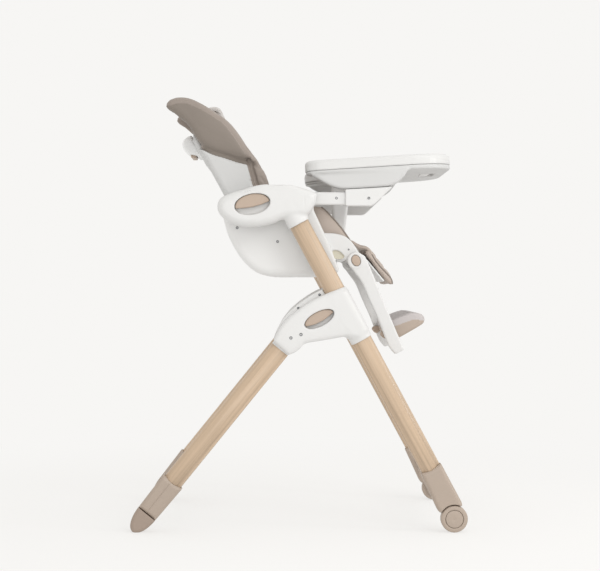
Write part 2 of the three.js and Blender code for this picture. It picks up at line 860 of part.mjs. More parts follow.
function legrest() {
  const arm = rounded([
    [120, 633, 6],
    [144, 599, 10],
    [171, 546, 10],
    [188, 506, 10],
    [209.5, 454, 6],
    [218, 435, 6],
    [232, 419, 6],
    [254, 432, 6],
    [245, 460, 8],
    [224, 506, 8],
    [199, 599, 16],
    [174, 634, 6],
    [156, 663, 6],
    [137, 646, 4],
  ], 4);
  const ringRoom = rod(LEGREST_PIVOT, 13.9, [LEGREST_ARM_Y[1] - 4, LEGREST_ARM_Y[1] + 1], 28);
  const pinBore = rod(LEGREST_PIVOT, 6 + GAP, [LEGREST_ARM_Y[0] - 1, LEGREST_ARM_Y[1] + 1], 16);
  const body = join(
    slab(arm, LEGREST_ARM_Y, { curve: 2 }),
    slab(disc(LEGREST_PIVOT, LEGREST_RING), LEGREST_ARM_Y, { curve: 9 }),
  );
  addPair('legrest_arm', cut(body, ringRoom, pinBore), WHITE);
  addPair('legrest_button', legrestButton(), TAN);

  // Narrow beside the fenders, and full width below them where it meets the arms.
  const panel = polygon([[150, 655], [154, 660], [216, 585.5], [212, 581]]);
  const lowerPanel = polygon([[174, 630], [178, 633], [216, 585.5], [212, 581]]);
  add('legrest_panel', join(
    wide(panel, SHELL_HALF - 1),
    wide(lowerPanel, LEGREST_ARM_Y[0] - GAP),
  ), WHITE);
  const pad = rounded([
    [161, 664.5, 6],
    [173, 676, 6],
    [203, 636, 20],
    [227, 605, 8],
    [232, 580, 6],
    [218, 588, 6],
    [206, 602, 6],
  ], 6);
  add('leg_pad', wide(pad, LEG_PAD_HALF, { curve: 2 }), LEATHERETTE);
  footplate();
}

// An oval head on a round stem that runs in through the arm and the fender.
function legrestButton() {
  const faceY = LEGREST_ARM_Y[1];
  const head = slab(oval(LEGREST_PIVOT, 10.3, 13.4, 20), [faceY - 0.6, faceY + 2.6], {
    bevel: 1,
    curve: 8,
  });
  const stem = rod(LEGREST_PIVOT, 6, [FENDER_Y[0] + 4, faceY], 16);
  return join(head, stem);
}

function footplate() {
  const plate = rounded([
    [207, 500, 7],
    [226, 503.5, 7],
    [282, 521, 8],
    [309, 509, 7],
    [304, 498, 7],
    [246.5, 462, 7],
    [226, 455, 7],
  ], 4);
  const half = 195.7;
  add('footplate', wide(plate, half, { curve: 3 }), TAUPE);
  const clip = rounded([
    [191, 466],
    [196, 478],
    [226, 490],
    [238, 468],
    [209, 450],
    [203, 451],
    [201, 463],
  ], 2);
  addPair('footplate_clip', slab(clip, [half + GAP, LEGREST_ARM_Y[0] - GAP], { curve: 2 }), TAN);
}

// ---- Tray ---------------------------------------------------------------------------------

// The tray's plan, drawn forwards and to the left, with a hollow for the child in its rear edge.
function trayPlan(inset) {
  const [rear, front, half] = [inset, TRAY_LENGTH - inset, TRAY_HALF - inset];
  return rounded([
    [rear, half, 44],
    [front - 4, half - 14, 118],
    [front - 4, 14 - half, 118],
    [rear, -half, 44],
    [rear, -150 - inset, 26],
    [62 + inset, -96 - inset, 60],
    [62 + inset, 96 + inset, 60],
    [rear, 150 + inset, 26],
  ], 20);
}

// Stands a plan up between two heights in the tray's tipped frame.
function trayLayer(inset, low, high, bevel = 0) {
  const geometry = new THREE.ExtrudeGeometry(trayPlan(inset), {
    depth: high - low - 2 * bevel,
    bevelEnabled: bevel > 0,
    bevelSize: bevel,
    bevelOffset: -bevel,
    bevelThickness: bevel,
    bevelSegments: 1,
    curveSegments: 3,
  });
  geometry.translate(0, 0, low + bevel);
  geometry.rotateY(-degToRad(TRAY_TILT));
  geometry.translate(TRAY_AT[0], 0, TRAY_AT[1]);
  return geometry;
}

// All that lies below a line parallel to the base's underside, which the base is cut off at.
function belowKeel(rise) {
  const at = (x) => [x, TRAY_KEEL.height + TRAY_KEEL.slope * x + rise];
  return wide(polygon([[-50, 700], [450, 700], at(450), at(-50)]), TRAY_HALF + 30);
}

function tray() {
  const bottom = 12;
  const wall = 4;
  const deep = 4;
  const pan = cut(
    trayLayer(5, deep, TRAY_SPLIT - GAP),
    belowKeel(0),
    cut(trayLayer(5 + wall, deep - 1, TRAY_SPLIT + 5), belowKeel(wall)),
  );
  // The skirt hangs down on each side and hides the bracket's top.
  const skirtFoot = [[103, 817.5], [153, 820], [216, 824], [229, 829], [241.5, 835]];
  const skirt = polygon([
    [40, 855],
    [42, 845],
    [60, 833],
    [78, 824],
    ...skirtFoot,
    [252, 846],
    [262, 862],
    [262, 868],
    [40, 857],
  ]);
  const skirtY = [206, 240];
  const releaseRoom = trayBlock([292, 328], [bottom - 4, bottom + 8], 46);
  const releaseBox = cut(trayBlock([286, 334], [bottom - 3, bottom + 11.4], 52), belowKeel(0));
  const base = cut(
    join(
      pan,
      releaseBox,
      slab(skirt, skirtY),
      slab(skirt, [-skirtY[1], -skirtY[0]]),
    ),
    releaseRoom,
  );
  add('tray_base', base, WHITE);
  add('tray_release', trayBlock([293, 315], [bottom + 0.8, bottom + 7.2], 44), WHITE);

  const dish = 18;
  add('tray_top', cut(
    trayLayer(0, TRAY_SPLIT, TRAY_HEIGHT, 5),
    trayLayer(15, TRAY_HEIGHT - dish, TRAY_HEIGHT + 5),
  ), WHITE);

  const drop = 0.6;
  const bracket = polygon([
    [111, 779],
    [113, 777.2],
    [173, 777.2],
    [180, 780],
    [226, 824.5],
    [216, 824 - drop],
    [153, 820 - drop],
    [111, 817.9 - drop],
  ]);
  const room = TRAY_TRAVEL + 1;
  const armRoom = polygon([
    [100, 779.2],
    [122 + room, 779.2],
    [150 + room, 811.2],
    [100, 811.2],
  ]);
  const side = RUNNING_GAP;
  addPair('tray_bracket', cut(
    slab(bracket, BRACKET_Y),
    slab(armRoom, [TRAY_ARM_Y[0] - side, TRAY_ARM_Y[1] + side]),
  ), WHITE);

  const post = rounded([
    [84, 856, 5],
    [82, 785, 10],
    [90, 714, 8],
    [96, 706, 6],
    [110, 706, 6],
    [117, 714, 8],
    [125, 785, 10],
    [128, 858.2, 5],
  ], 4);
  add('crotch_post', wide(post, 12, { curve: 3 }), WHITE);
}

// A block in the tray's frame: forwards range, height range, half width.
function trayBlock([rear, front], [low, high], half) {
  const geometry = new THREE.BoxGeometry(front - rear, 2 * half, high - low);
  geometry.translate((rear + front) / 2, 0, (low + high) / 2);
  geometry.rotateY(-degToRad(TRAY_TILT));
  geometry.translate(TRAY_AT[0], 0, TRAY_AT[1]);
  return geometry;
}

// ---- The chair ----------------------------------------------------------------------------

frontFrame();
wheels();
rearLegs();
armrests();
addPair('height_lever', lever(ARMREST_WINDOW, ARMREST_Y[1]), TAN);
addPair('fold_lever', lever(FOLD_WINDOW, FOLD_OUTER_Y[1]), TAN);
sideFrames();
seatShell();
seatCushion();
backrest();
legrest();
tray();

export default chair;
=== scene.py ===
"""The looks of the baby high chair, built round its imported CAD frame.

Lengths are in millimetres until a mesh is made.
"""

import json
import math

import bmesh
import bpy
import numpy as np
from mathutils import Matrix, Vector

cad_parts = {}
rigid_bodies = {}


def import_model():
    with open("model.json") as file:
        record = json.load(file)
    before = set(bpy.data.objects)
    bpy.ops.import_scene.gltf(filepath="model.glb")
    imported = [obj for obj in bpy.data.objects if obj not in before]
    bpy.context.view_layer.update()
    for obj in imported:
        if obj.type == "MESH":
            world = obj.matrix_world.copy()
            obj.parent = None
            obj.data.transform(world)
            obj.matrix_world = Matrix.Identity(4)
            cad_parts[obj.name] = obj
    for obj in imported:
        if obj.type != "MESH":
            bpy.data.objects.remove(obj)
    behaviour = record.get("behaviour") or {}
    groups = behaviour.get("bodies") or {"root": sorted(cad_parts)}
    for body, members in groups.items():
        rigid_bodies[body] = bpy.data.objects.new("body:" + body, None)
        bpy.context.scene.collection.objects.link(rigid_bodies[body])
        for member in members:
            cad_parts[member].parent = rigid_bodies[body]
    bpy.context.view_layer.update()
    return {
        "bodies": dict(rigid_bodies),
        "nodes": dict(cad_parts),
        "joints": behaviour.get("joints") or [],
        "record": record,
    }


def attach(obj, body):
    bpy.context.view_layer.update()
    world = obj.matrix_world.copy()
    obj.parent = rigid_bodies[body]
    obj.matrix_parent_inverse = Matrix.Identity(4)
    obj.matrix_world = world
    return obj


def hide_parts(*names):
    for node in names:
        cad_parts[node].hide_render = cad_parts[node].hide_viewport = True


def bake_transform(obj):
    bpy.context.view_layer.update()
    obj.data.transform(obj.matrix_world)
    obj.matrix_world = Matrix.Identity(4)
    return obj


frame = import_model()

MM = 0.001
SIDES = (("left", 1), ("right", -1))

# ---- Driving dimensions, the same as the frame's -------------------------------------------

LEG_Y = 265
OUTER_FACE = 290  # the housings' outer faces are this far out
LEG_WIDTH, LEG_DEPTH = 48, 30
FRONT_LEG = {"at": (0.7, 731.7), "lean": 28.3}
REAR_LEG = {"at": (-42.8, 437.2), "lean": -39.0}
FOLD_PIVOT = (-22, 463)
WHEEL_AT, WHEEL_RADIUS = (368.7, 32), 32
BACK_LEAN, BACK_AT = 28.7, (-189, 816)
LEGREST_PIVOT = (137.3, 646.1)
TRAY_AT, TRAY_TILT = (17, 836), 3.7
ARMREST_WINDOW = {"at": (-110.5, 778.4), "a": 42.4, "b": 24, "tilt": 11.7, "chord": -5}
FOLD_WINDOW = {"at": (48.2, 506.5), "a": 38, "b": 17, "tilt": 27, "chord": -1}


# ---- Outlines in the side view --------------------------------------------------------------

def rounded(corners, radius=4, steps=6):
    """A closed outline whose corners [x, z] or [x, z, own radius] are short curves."""
    points = []
    for i, corner in enumerate(corners):
        here = np.array(corner[:2], float)
        own = corner[2] if len(corner) > 2 else radius
        ends = []
        for other in (corners[i - 1], corners[(i + 1) % len(corners)]):
            way = np.array(other[:2], float) - here
            ends.append(here + way * min(own / np.linalg.norm(way), 0.49))
        for t in np.linspace(0, 1, steps + 1):
            points.append((1 - t) ** 2 * ends[0] + 2 * t * (1 - t) * here + t * t * ends[1])
    return np.array(points)


def between(a, b, c, d, steps):
    """Points of a smooth curve from b up to c, on its way from a to d."""
    return [0.5 * (2 * b + (c - a) * t + (2 * a - 5 * b + 4 * c - d) * t * t
                   + (3 * b - a - 3 * c + d) * t ** 3) for t in np.arange(steps) / steps]


def flowing(corners, steps=5):
    """A closed smooth curve through the corners."""
    p = np.array(corners, float)
    points = []
    for i in range(len(p)):
        points += between(p[i - 1], p[i], p[(i + 1) % len(p)], p[(i + 2) % len(p)], steps)
    return np.array(points)


def on_leg(leg, along, across=0.0):
    angle = math.radians(leg["lean"])
    return (leg["at"][0] + along * math.sin(angle) + across * math.cos(angle),
            leg["at"][1] - along * math.cos(angle) + across * math.sin(angle))


def on_back(height, forward=0.0):
    angle = math.radians(BACK_LEAN)
    return (BACK_AT[0] - (height - BACK_AT[1]) * math.tan(angle) + forward * math.cos(angle),
            height + forward * math.sin(angle))


def squeeze(window):
    angle = math.radians(window["tilt"])
    return -math.sin(angle), math.cos(angle)


def shifted(window, distance):
    x, z = squeeze(window)
    return window["at"][0] + x * distance, window["at"][1] + z * distance


# ---- Clay: a block of points where shapes are added, cut and rounded, and then skinned ------

def soft_min(a, b, k):
    if k <= 0:
        return np.minimum(a, b)
    h = np.maximum(k - np.abs(a - b), 0) / k
    return np.minimum(a, b) - h * h * k * 0.25


def soft_max(a, b, k):
    return -soft_min(-a, -b, k)


def plane_distance(outline, x, z):
    """Signed distance to a closed outline in its plane, negative inside."""
    best = np.full(x.shape, 1e12)
    sign = np.ones(x.shape)
    for (ax, az), (bx, bz) in zip(outline, np.roll(outline, -1, 0)):
        ex, ez = bx - ax, bz - az
        length = ex * ex + ez * ez
        if length < 1e-9:
            continue
        wx, wz = x - ax, z - az
        t = np.clip((wx * ex + wz * ez) / length, 0, 1)
        best = np.minimum(best, (wx - ex * t) ** 2 + (wz - ez * t) ** 2)
        above, below, left = z >= az, z < bz, ex * wz > ez * wx
        sign[(above & below & left) | (~above & ~below & ~left)] *= -1
    return sign * np.sqrt(best)


def edged(q0, q1, r):
    """Where two distances meet at a square edge, rounded by r."""
    q0, q1 = q0 + r, q1 + r
    return np.minimum(np.maximum(q0, q1), 0) + np.hypot(np.maximum(q0, 0), np.maximum(q1, 0)) - r


CROWN_REACH = 14  # how far in from the edge a crowned face falls away


class Clay:
    def __init__(self, low, high, step):
        self.step = step
        self.low = np.array(low, float)
        count = [int(math.ceil((h - l) / step)) + 1 for l, h in zip(low, high)]
        axes = [l + step * np.arange(n) for l, n in zip(low, count)]
        self.x, self.y, self.z = np.meshgrid(*axes, indexing="ij", sparse=True)
        self.d = np.full(count, 1e3, np.float32)

    def side(self, outline):
        """Distance to an outline in the side view, for every y at once."""
        x, z = np.meshgrid(self.x.ravel(), self.z.ravel(), indexing="ij")
        return plane_distance(outline, x, z)[:, None, :]

    def plan(self, outline):
        """Distance to an outline seen from above."""
        x, y = np.meshgrid(self.x.ravel(), self.y.ravel(), indexing="ij")
        return plane_distance(outline, x, y)[:, :, None]

    def slab(self, flat, low, high, r_low=2.0, r_high=None, crown=0.0):
        """A flat distance extruded across, with its two edges rounded. A crown bows its high face."""
        r_high = r_low if r_high is None else r_high
        middle, half = (low + high) / 2, (high - low) / 2
        r = np.where(self.y > middle, r_high, r_low)
        sunk = crown * np.exp(np.minimum(flat, 0) / CROWN_REACH) * (self.y > middle)
        return edged(flat, np.abs(self.y - middle) - half + sunk, r)

    def put(self, flat, low, high, *edges, k=0.0, crown=0.0):
        """Adds a slab of an outline, or of a flat distance, blended in over k."""
        flat = self.side(flat) if flat.ndim == 2 else flat
        self.add(self.slab(flat, low, high, *edges, crown=crown), k)

    def take(self, flat, low, high, *edges, k=0.0):
        """Cuts such a slab away, with the rim rounded over k."""
        flat = self.side(flat) if flat.ndim == 2 else flat
        self.cut(self.slab(flat, low, high, *edges), k)

    def bar(self, leg, start, end, width, depth, r=1.0, y=LEG_Y):
        """An oval bar on a leg's axis."""
        angle = math.radians(leg["lean"])
        dx, dz = self.x - leg["at"][0], self.z - leg["at"][1]
        along = dx * math.sin(angle) - dz * math.cos(angle)
        across = dx * math.cos(angle) + dz * math.sin(angle)
        oval = oval_distance(across, self.y - y, width / 2, depth / 2)
        return edged(oval, np.abs(along - (start + end) / 2) - (end - start) / 2, r)

    def add(self, d, k=0.0):
        self.d = soft_min(self.d, d, k).astype(np.float32)

    def cut(self, d, k=0.0):
        self.d = soft_max(self.d, -d, k).astype(np.float32)

    def keep(self, d, k=0.0):
        self.d = soft_max(self.d, d, k).astype(np.float32)


def oval_distance(u, v, a, b):
    k0 = np.sqrt((u / a) ** 2 + (v / b) ** 2)
    k1 = np.sqrt((u / a ** 2) ** 2 + (v / b ** 2) ** 2)
    return k0 * (k0 - 1) / np.maximum(k1, 1e-6)


def opening(clay, window):
    """Distance to a housing's oval window."""
    return oval(clay, window["at"], window["a"], window["b"], window["tilt"])


def oval(clay, at, a, b, tilt=0.0):
    """Distance to an oval in the side view."""
    angle = math.radians(tilt)
    dx, dz = clay.x - at[0], clay.z - at[1]
    return oval_distance(dx * math.cos(angle) + dz * math.sin(angle),
                         dz * math.cos(angle) - dx * math.sin(angle), a, b)


def skin(clay):
    """The surface where the clay's distance is 0, as points and four-sided faces."""
    d = clay.d
    inside = d < 0
    cells = tuple(n - 1 for n in d.shape)
    total = np.zeros(cells + (3,), np.float32)
    count = np.zeros(cells, np.float32)
    for axis in range(3):
        b, c = [k for k in range(3) if k != axis]
        first = [slice(None)] * 3
        second = [slice(None)] * 3
        first[axis], second[axis] = slice(0, -1), slice(1, None)
        d0, d1 = d[tuple(first)], d[tuple(second)]
        crossing = inside[tuple(first)] != inside[tuple(second)]
        t = np.where(crossing, d0 / np.where(crossing, d0 - d1, 1), 0)
        for ob in (0, 1):
            for oc in (0, 1):
                window = [slice(None)] * 3
                window[b] = slice(ob, ob + cells[b])
                window[c] = slice(oc, oc + cells[c])
                hit = crossing[tuple(window)]
                total[..., axis] += t[tuple(window)] * hit
                total[..., b] += ob * hit
                total[..., c] += oc * hit
                count += hit
    active = count > 0
    index = np.full(cells, -1, np.int64)
    index[active] = np.arange(active.sum())
    place = np.argwhere(active) + total[active] / count[active][:, None]
    points = clay.low + place * clay.step
    faces = []
    for axis in range(3):
        b, c = (axis + 1) % 3, (axis + 2) % 3
        first = [slice(1, -1)] * 3
        second = [slice(1, -1)] * 3
        first[axis], second[axis] = slice(0, -1), slice(1, None)
        crossing = inside[tuple(first)] != inside[tuple(second)]
        at = np.argwhere(crossing)
        at[:, b] += 1
        at[:, c] += 1
        corners = []
        for ob, oc in ((0, 0), (-1, 0), (-1, -1), (0, -1)):
            spot = at.copy()
            spot[:, b] += ob
            spot[:, c] += oc
            corners.append(index[spot[:, 0], spot[:, 1], spot[:, 2]])
        quad = np.stack(corners, 1)
        outward = inside[at[:, 0], at[:, 1], at[:, 2]]
        quad[~outward] = quad[~outward][:, ::-1]
        faces.append(quad)
    return points, np.concatenate(faces)


# ---- Pieces ---------------------------------------------------------------------------------

def piece(name, points, faces, material, mirror=1):
    """A smooth-shaded mesh object from points in millimetres."""
    points = np.array(points, float) * MM
    faces = [tuple(int(i) for i in f) for f in faces]
    if mirror < 0:
        points = points * np.array([1, -1, 1])
        faces = [f[::-1] for f in faces]
    mesh = bpy.data.meshes.new(name)
    mesh.from_pydata(points.tolist(), [], faces)
    mesh.update()
    mesh.shade_smooth()
    made = bpy.data.objects.new(name, mesh)
    bpy.context.scene.collection.objects.link(made)
    made.data.materials.append(material)
    return made


def moulded(name, clay, material, body, nodes=(), mirror=1, relax=2, place=None):
    """Skins clay into a piece that rides on a body and stands for its CAD nodes."""
    points, faces = skin(clay)
    if place:
        points = place(points)
    made = piece(name, points, faces, material, mirror)
    if relax:
        smooth = made.modifiers.new("relax", "SMOOTH")
        smooth.factor = 0.5
        smooth.iterations = relax
        apply_modifiers(made)
    return settle(made, body, nodes)


def apply_modifiers(made):
    graph = bpy.context.evaluated_depsgraph_get()
    mesh = bpy.data.meshes.new_from_object(made.evaluated_get(graph))
    made.modifiers.clear()
    made.data = mesh


def settle(made, body, nodes=()):
    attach(made, body)
    if nodes:
        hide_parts(*nodes)
    return made


def moulded_pair(name, clay, material, body, relax=2):
    """The left piece and its mirror image, each for its CAD node. The body may name a side with {}."""
    return [moulded(f"{name}_{side}_shape", clay, material, body.format(side), [f"{name}_{side}"],
                    mirror, relax) for side, mirror in SIDES]


# ---- Materials ------------------------------------------------------------------------------

class Shader:
    """A new material under construction. Its `at` is the object's own coordinates."""

    def __init__(self, name, color, roughness, **sockets):
        self.material = bpy.data.materials.new(name)
        self.material.use_nodes = True
        self.nodes, self.links = self.material.node_tree.nodes, self.material.node_tree.links
        self.bsdf = self.nodes["Principled BSDF"]
        self.fill(self.bsdf, Base_Color=(*color, 1), Roughness=roughness, **sockets)
        self.at = self.nodes.new("ShaderNodeTexCoord").outputs["Object"]

    def fill(self, node, **inputs):
        """Links a socket, or sets a value, on each named input."""
        for name, value in inputs.items():
            socket = node.inputs[name.replace("_", " ")]
            if isinstance(value, bpy.types.NodeSocket):
                self.links.new(value, socket)
            else:
                socket.default_value = value
        return node

    def node(self, kind, **inputs):
        return self.fill(self.nodes.new("ShaderNode" + kind), **inputs)

    def noise(self, vector, scale, detail=3.0, roughness=0.55, distortion=0.0):
        return self.node("TexNoise", Vector=vector, Scale=scale, Detail=detail, Roughness=roughness,
                         Distortion=distortion).outputs["Fac"]

    def ramp(self, factor, *stops):
        made = self.node("ValToRGB", Fac=factor)
        elements = made.color_ramp.elements
        while len(elements) < len(stops):
            elements.new(0.5)
        for element, (place, color) in zip(elements, stops):
            element.position = place
            element.color = (*color, 1)
        return made.outputs["Color"]

    def ranged(self, factor, low, high):
        return self.node("MapRange", Value=factor, To_Min=low, To_Max=high).outputs["Result"]

    def blended(self, first, second, share):
        made = self.node("Mix", Factor=share)
        self.links.new(first, made.inputs[2])
        self.links.new(second, made.inputs[3])
        return made.outputs[0]

    def bump(self, height, distance, strength=1.0, chain=None):
        made = self.node("Bump", Height=height, Strength=strength, Distance=distance)
        if chain is not None:
            self.links.new(chain, made.inputs["Normal"])
        self.links.new(made.outputs["Normal"], self.bsdf.inputs["Normal"])
        return made.outputs["Normal"]


def tint(color, factor):
    return tuple(min(1.0, c * factor) for c in color)


def moulded_plastic(name, color, roughness, grain=0.00004, spread=0.02):
    """Moulded plastic: a faint cloud in its colour, a fine sparked texture and uneven gloss."""
    m = Shader(name, color, roughness)
    cloud = m.noise(m.at, 7.0, 4.0)
    wear = m.noise(m.at, 35.0, 5.0, 0.6)
    m.fill(m.bsdf, Base_Color=m.ramp(cloud, (0.3, tint(color, 1 - spread)), (0.7, tint(color, 1 + spread))),
           Roughness=m.ranged(wear, roughness - 0.05, roughness + 0.06))
    m.bump(m.noise(m.at, 1400.0, 2.0, 0.7), grain, 0.6)
    return m.material


def wood(name, leg):
    """Pale beech with its straight, fine grain along a leg."""
    light = (0.49, 0.364, 0.250)
    m = Shader(name, light, 0.36, Coat_Weight=0.3, Coat_Roughness=0.22)
    turn = m.node("Mapping", Vector=m.at, Rotation=(0, math.radians(leg["lean"]), 0))
    turn.vector_type = "POINT"
    stretched = m.node("Mapping", Vector=turn.outputs["Vector"], Scale=(1, 1, 0.018)).outputs["Vector"]
    fibre = m.noise(stretched, 620.0, 4.0, 0.6)
    ring = m.noise(stretched, 95.0, 4.0, 0.55, 0.4)
    patch = m.noise(turn.outputs["Vector"], 5.0, 2.0)
    mixed = m.blended(m.blended(ring, fibre, 0.30), patch, 0.12)
    color = m.ramp(mixed, (0.34, tint(light, 0.70)), (0.5, light), (0.66, tint(light, 1.16)))
    m.fill(m.bsdf, Base_Color=color, Roughness=m.ranged(fibre, 0.32, 0.44))
    m.bump(fibre, 0.00005, 0.4)
    return m.material


def leatherette(name, color):
    """Artificial leather: pebbled grain, fine creases and a soft sheen."""
    m = Shader(name, color, 0.48, Sheen_Weight=0.12, Sheen_Roughness=0.5, Specular_IOR_Level=0.4)
    cloud = m.noise(m.at, 9.0, 5.0)
    crease = m.noise(m.at, 60.0, 6.0, 0.6, 0.6)
    m.fill(m.bsdf, Base_Color=m.ramp(cloud, (0.3, tint(color, 0.94)), (0.7, tint(color, 1.05))),
           Roughness=m.ranged(crease, 0.42, 0.58))
    cells = m.node("TexVoronoi", Vector=m.at, Scale=620.0)
    cells.feature = "DISTANCE_TO_EDGE"
    m.bump(crease, 0.0012, 0.3, m.bump(cells.outputs["Distance"], 0.0005, 0.35))
    return m.material


def woven(name, color):
    """A woven strap: two crossing sets of threads."""
    m = Shader(name, color, 0.8, Sheen_Weight=0.25)
    heights = []
    for direction, scale in (("Y", 420.0), ("Z", 330.0)):
        wave = m.node("TexWave", Vector=m.at, Scale=scale, Distortion=0.6)
        wave.wave_type = "BANDS"
        wave.bands_direction = direction
        heights.append(wave.outputs["Fac"])
    product = m.node("Math")
    product.operation = "MULTIPLY"
    for height, socket in zip(heights, product.inputs):
        m.links.new(height, socket)
    threads = product.outputs["Value"]
    m.fill(m.bsdf, Base_Color=m.ramp(threads, (0.0, tint(color, 0.72)), (0.6, color)))
    m.bump(threads, 0.0005, 0.7)
    return m.material


def brushed(name, color):
    """Zinc-plated steel with faint brushing."""
    m = Shader(name, color, 0.32, Metallic=1.0)
    stretched = m.node("Mapping", Vector=m.at, Scale=(1, 0.05, 1)).outputs["Vector"]
    line = m.noise(stretched, 1800.0, 3.0)
    m.fill(m.bsdf, Roughness=m.ranged(line, 0.24, 0.42),
           Base_Color=m.ramp(line, (0.3, tint(color, 0.88)), (0.7, color)))
    m.bump(line, 0.00003, 0.5)
    return m.material


WHITE = moulded_plastic("white_plastic", (0.65, 0.646, 0.636), 0.36, spread=0.012)
# Painted light: a brighter copy of the white plastic for the seat shell, lifting the shade under the armrests
# and beside the legs.
WHITE_SHELL_PAINTED_LIGHT = moulded_plastic("white_plastic_shell_painted_light", (0.715, 0.71, 0.70), 0.38, spread=0.012)
# Painted light: a brighter copy of the white plastic for the grip and the crotch post, lifting the shade they
# sit in.
WHITE_PAINTED_LIGHT = moulded_plastic("white_plastic_painted_light", (0.80, 0.80, 0.795), 0.36, spread=0.012)
# Painted shade: a darker copy of the white plastic for the tray's top, toning down the light on its
# upward-facing rim.
WHITE_TRAY_PAINTED_SHADE = moulded_plastic("white_plastic_tray_painted_shade", (0.615, 0.612, 0.602), 0.36, spread=0.012)
# Painted shade: a darker copy of the white plastic, a little rougher, for the tray's base and the backrest
# shell.
WHITE_PAINTED_SHADE = moulded_plastic("white_plastic_painted_shade", (0.545, 0.543, 0.535), 0.42, spread=0.012)
# Painted shade: a cream, darker copy of the white plastic for the floor of the fender's recess.
WHITE_RECESS_PAINTED_SHADE = moulded_plastic("white_plastic_recess_painted_shade", (0.60, 0.565, 0.46), 0.5)
# Painted light: the footplate's taupe made lighter and greyer for its top face, for how light falls on the
# top.
TAUPE_TOP_PAINTED_LIGHT = moulded_plastic("taupe_top_painted_light", (0.47, 0.435, 0.425), 0.62, grain=0.0001)
TAUPE = moulded_plastic("taupe_plastic", (0.385, 0.313, 0.255), 0.45)
TAN = moulded_plastic("tan_plastic", (0.43, 0.335, 0.262), 0.42)
RUBBER = moulded_plastic("taupe_rubber", (0.325, 0.255, 0.207), 0.62, grain=0.0001)
FRONT_WOOD = wood("front_leg_wood", FRONT_LEG)
REAR_WOOD = wood("rear_leg_wood", REAR_LEG)
LEATHER = leatherette("leatherette", (0.44, 0.37, 0.32))
LEATHER_BACK = leatherette("leatherette_back", (0.285, 0.240, 0.208))
# Painted shade: a darker copy of the leatherette for the hood's side panels.
LEATHER_SIDE_PAINTED_SHADE = leatherette("leatherette_side_painted_shade", (0.215, 0.182, 0.154))
PIPING = leatherette("leatherette_piping", (0.24, 0.20, 0.172))
MESH_PAD = woven("mesh_pad", (0.72, 0.685, 0.655))
WEBBING = woven("webbing", (0.60, 0.54, 0.47))
STEEL = brushed("steel", (0.62, 0.63, 0.65))
DARK_STEEL = brushed("dark_steel", (0.16, 0.165, 0.17))
BY_SLOT = {"white_plastic": WHITE, "taupe_plastic": TAUPE, "tan_plastic": TAN, "taupe_rubber": RUBBER,
           "leatherette": LEATHER, "webbing": WEBBING, "steel": STEEL}


def finish_cad_nodes():
    """Every CAD node gets a procedural material, and softened edges where it stays in sight."""
    for row in frame["record"]["subparts"]:
        node = frame["nodes"][row["node"]]
        material = BY_SLOT.get(row["material_slot"])
        if row["material_slot"] == "wood":
            material = FRONT_WOOD if row["node"].startswith("front") else REAR_WOOD
        node.data.materials.clear()
        node.data.materials.append(material)
        node.data.shade_smooth()
        weld = node.modifiers.new("weld", "WELD")
        weld.merge_threshold = 0.00002
        soften = node.modifiers.new("soften", "BEVEL")
        soften.width = 0.0008
        soften.segments = 2
        soften.limit_method = "ANGLE"
        soften.angle_limit = math.radians(32)
        soften.harden_normals = True


finish_cad_nodes()

# ---- Front frame ----------------------------------------------------------------------------

FOLD_LOWER_EDGE = [(-61.7, 454, 6), (-24.4, 420, 6), (-2.6, 430, 10), (13.7, 449, 10), (46.5, 454, 10),
                   (79, 459.5, 10), (108, 465, 10)]
FOLD_OUTER_EDGE = [(80, 571, 10), (50, 561, 12), (28, 550, 12), (1, 532, 12), (-26, 510, 12),
                   (-44, 490, 12), (-54, 472, 10)]
FOLD_INNER_EDGE = [(83, 584, 10), (54, 577, 12), (28, 563, 12), (1, 544.5, 12), (-26, 521, 12),
                   (-46, 495, 12), (-57, 472, 10)]


def fold_housings():
    """Two shells clamped round the front leg, with room between them for the rear leg's knuckle."""
    sleeve = [on_leg(FRONT_LEG, 306), on_leg(FRONT_LEG, 298, 24), on_leg(FRONT_LEG, 190, 24)]
    swing = []
    for lean, along, across in ((REAR_LEG["lean"], 0, -26.5), (REAR_LEG["lean"], 150, -26.5), (-8, 195, 0),
                                (23, 150, 26.5), (23, 0, 26.5)):
        swing.append(on_leg({"at": FOLD_PIVOT, "lean": lean}, along, across))

    def shape(edge, low, high, r_low, r_high):
        clay = Clay((-70, low - 5, 410), (180, high + 5, 594), 1.7)
        flat = clay.side(rounded(FOLD_LOWER_EDGE + sleeve + edge, 8))
        clay.put(flat, low, high, r_low, r_high, crown=2.0 if high > 280 else 0.0)
        collar = clay.bar(FRONT_LEG, 181, 314, 54, 40, 3)
        half = np.abs(clay.y - (low + high) / 2) - (high - low) / 2
        clay.add(np.maximum(collar, half), 12)
        clay.keep(half)
        clay.cut(clay.bar(FRONT_LEG, 100, 400, LEG_WIDTH + 1, LEG_DEPTH + 1, 0), 1.5)
        room = np.minimum(clay.side(np.array(swing)), oval(clay, FOLD_PIVOT, 26.5, 26.5))
        clay.take(room, 249.4, 280.6, 1.0, k=1.0)
        return clay

    outer = shape(FOLD_OUTER_EDGE, 265.3, 290, 0.8, 8)
    window = FOLD_WINDOW
    outer.take(oval(outer, shifted(window, 7), 40, 19, window["tilt"]), 272, 286.3, 0.5)
    outer.take(opening(outer, window), 272, 300, 0.5, k=3)
    moulded_pair("fold_housing_outer", outer, WHITE, "front_frame")
    inner = shape(FOLD_INNER_EDGE, 240, 264.7, 8, 0.8)
    moulded_pair("fold_housing_inner", inner, WHITE, "front_frame")


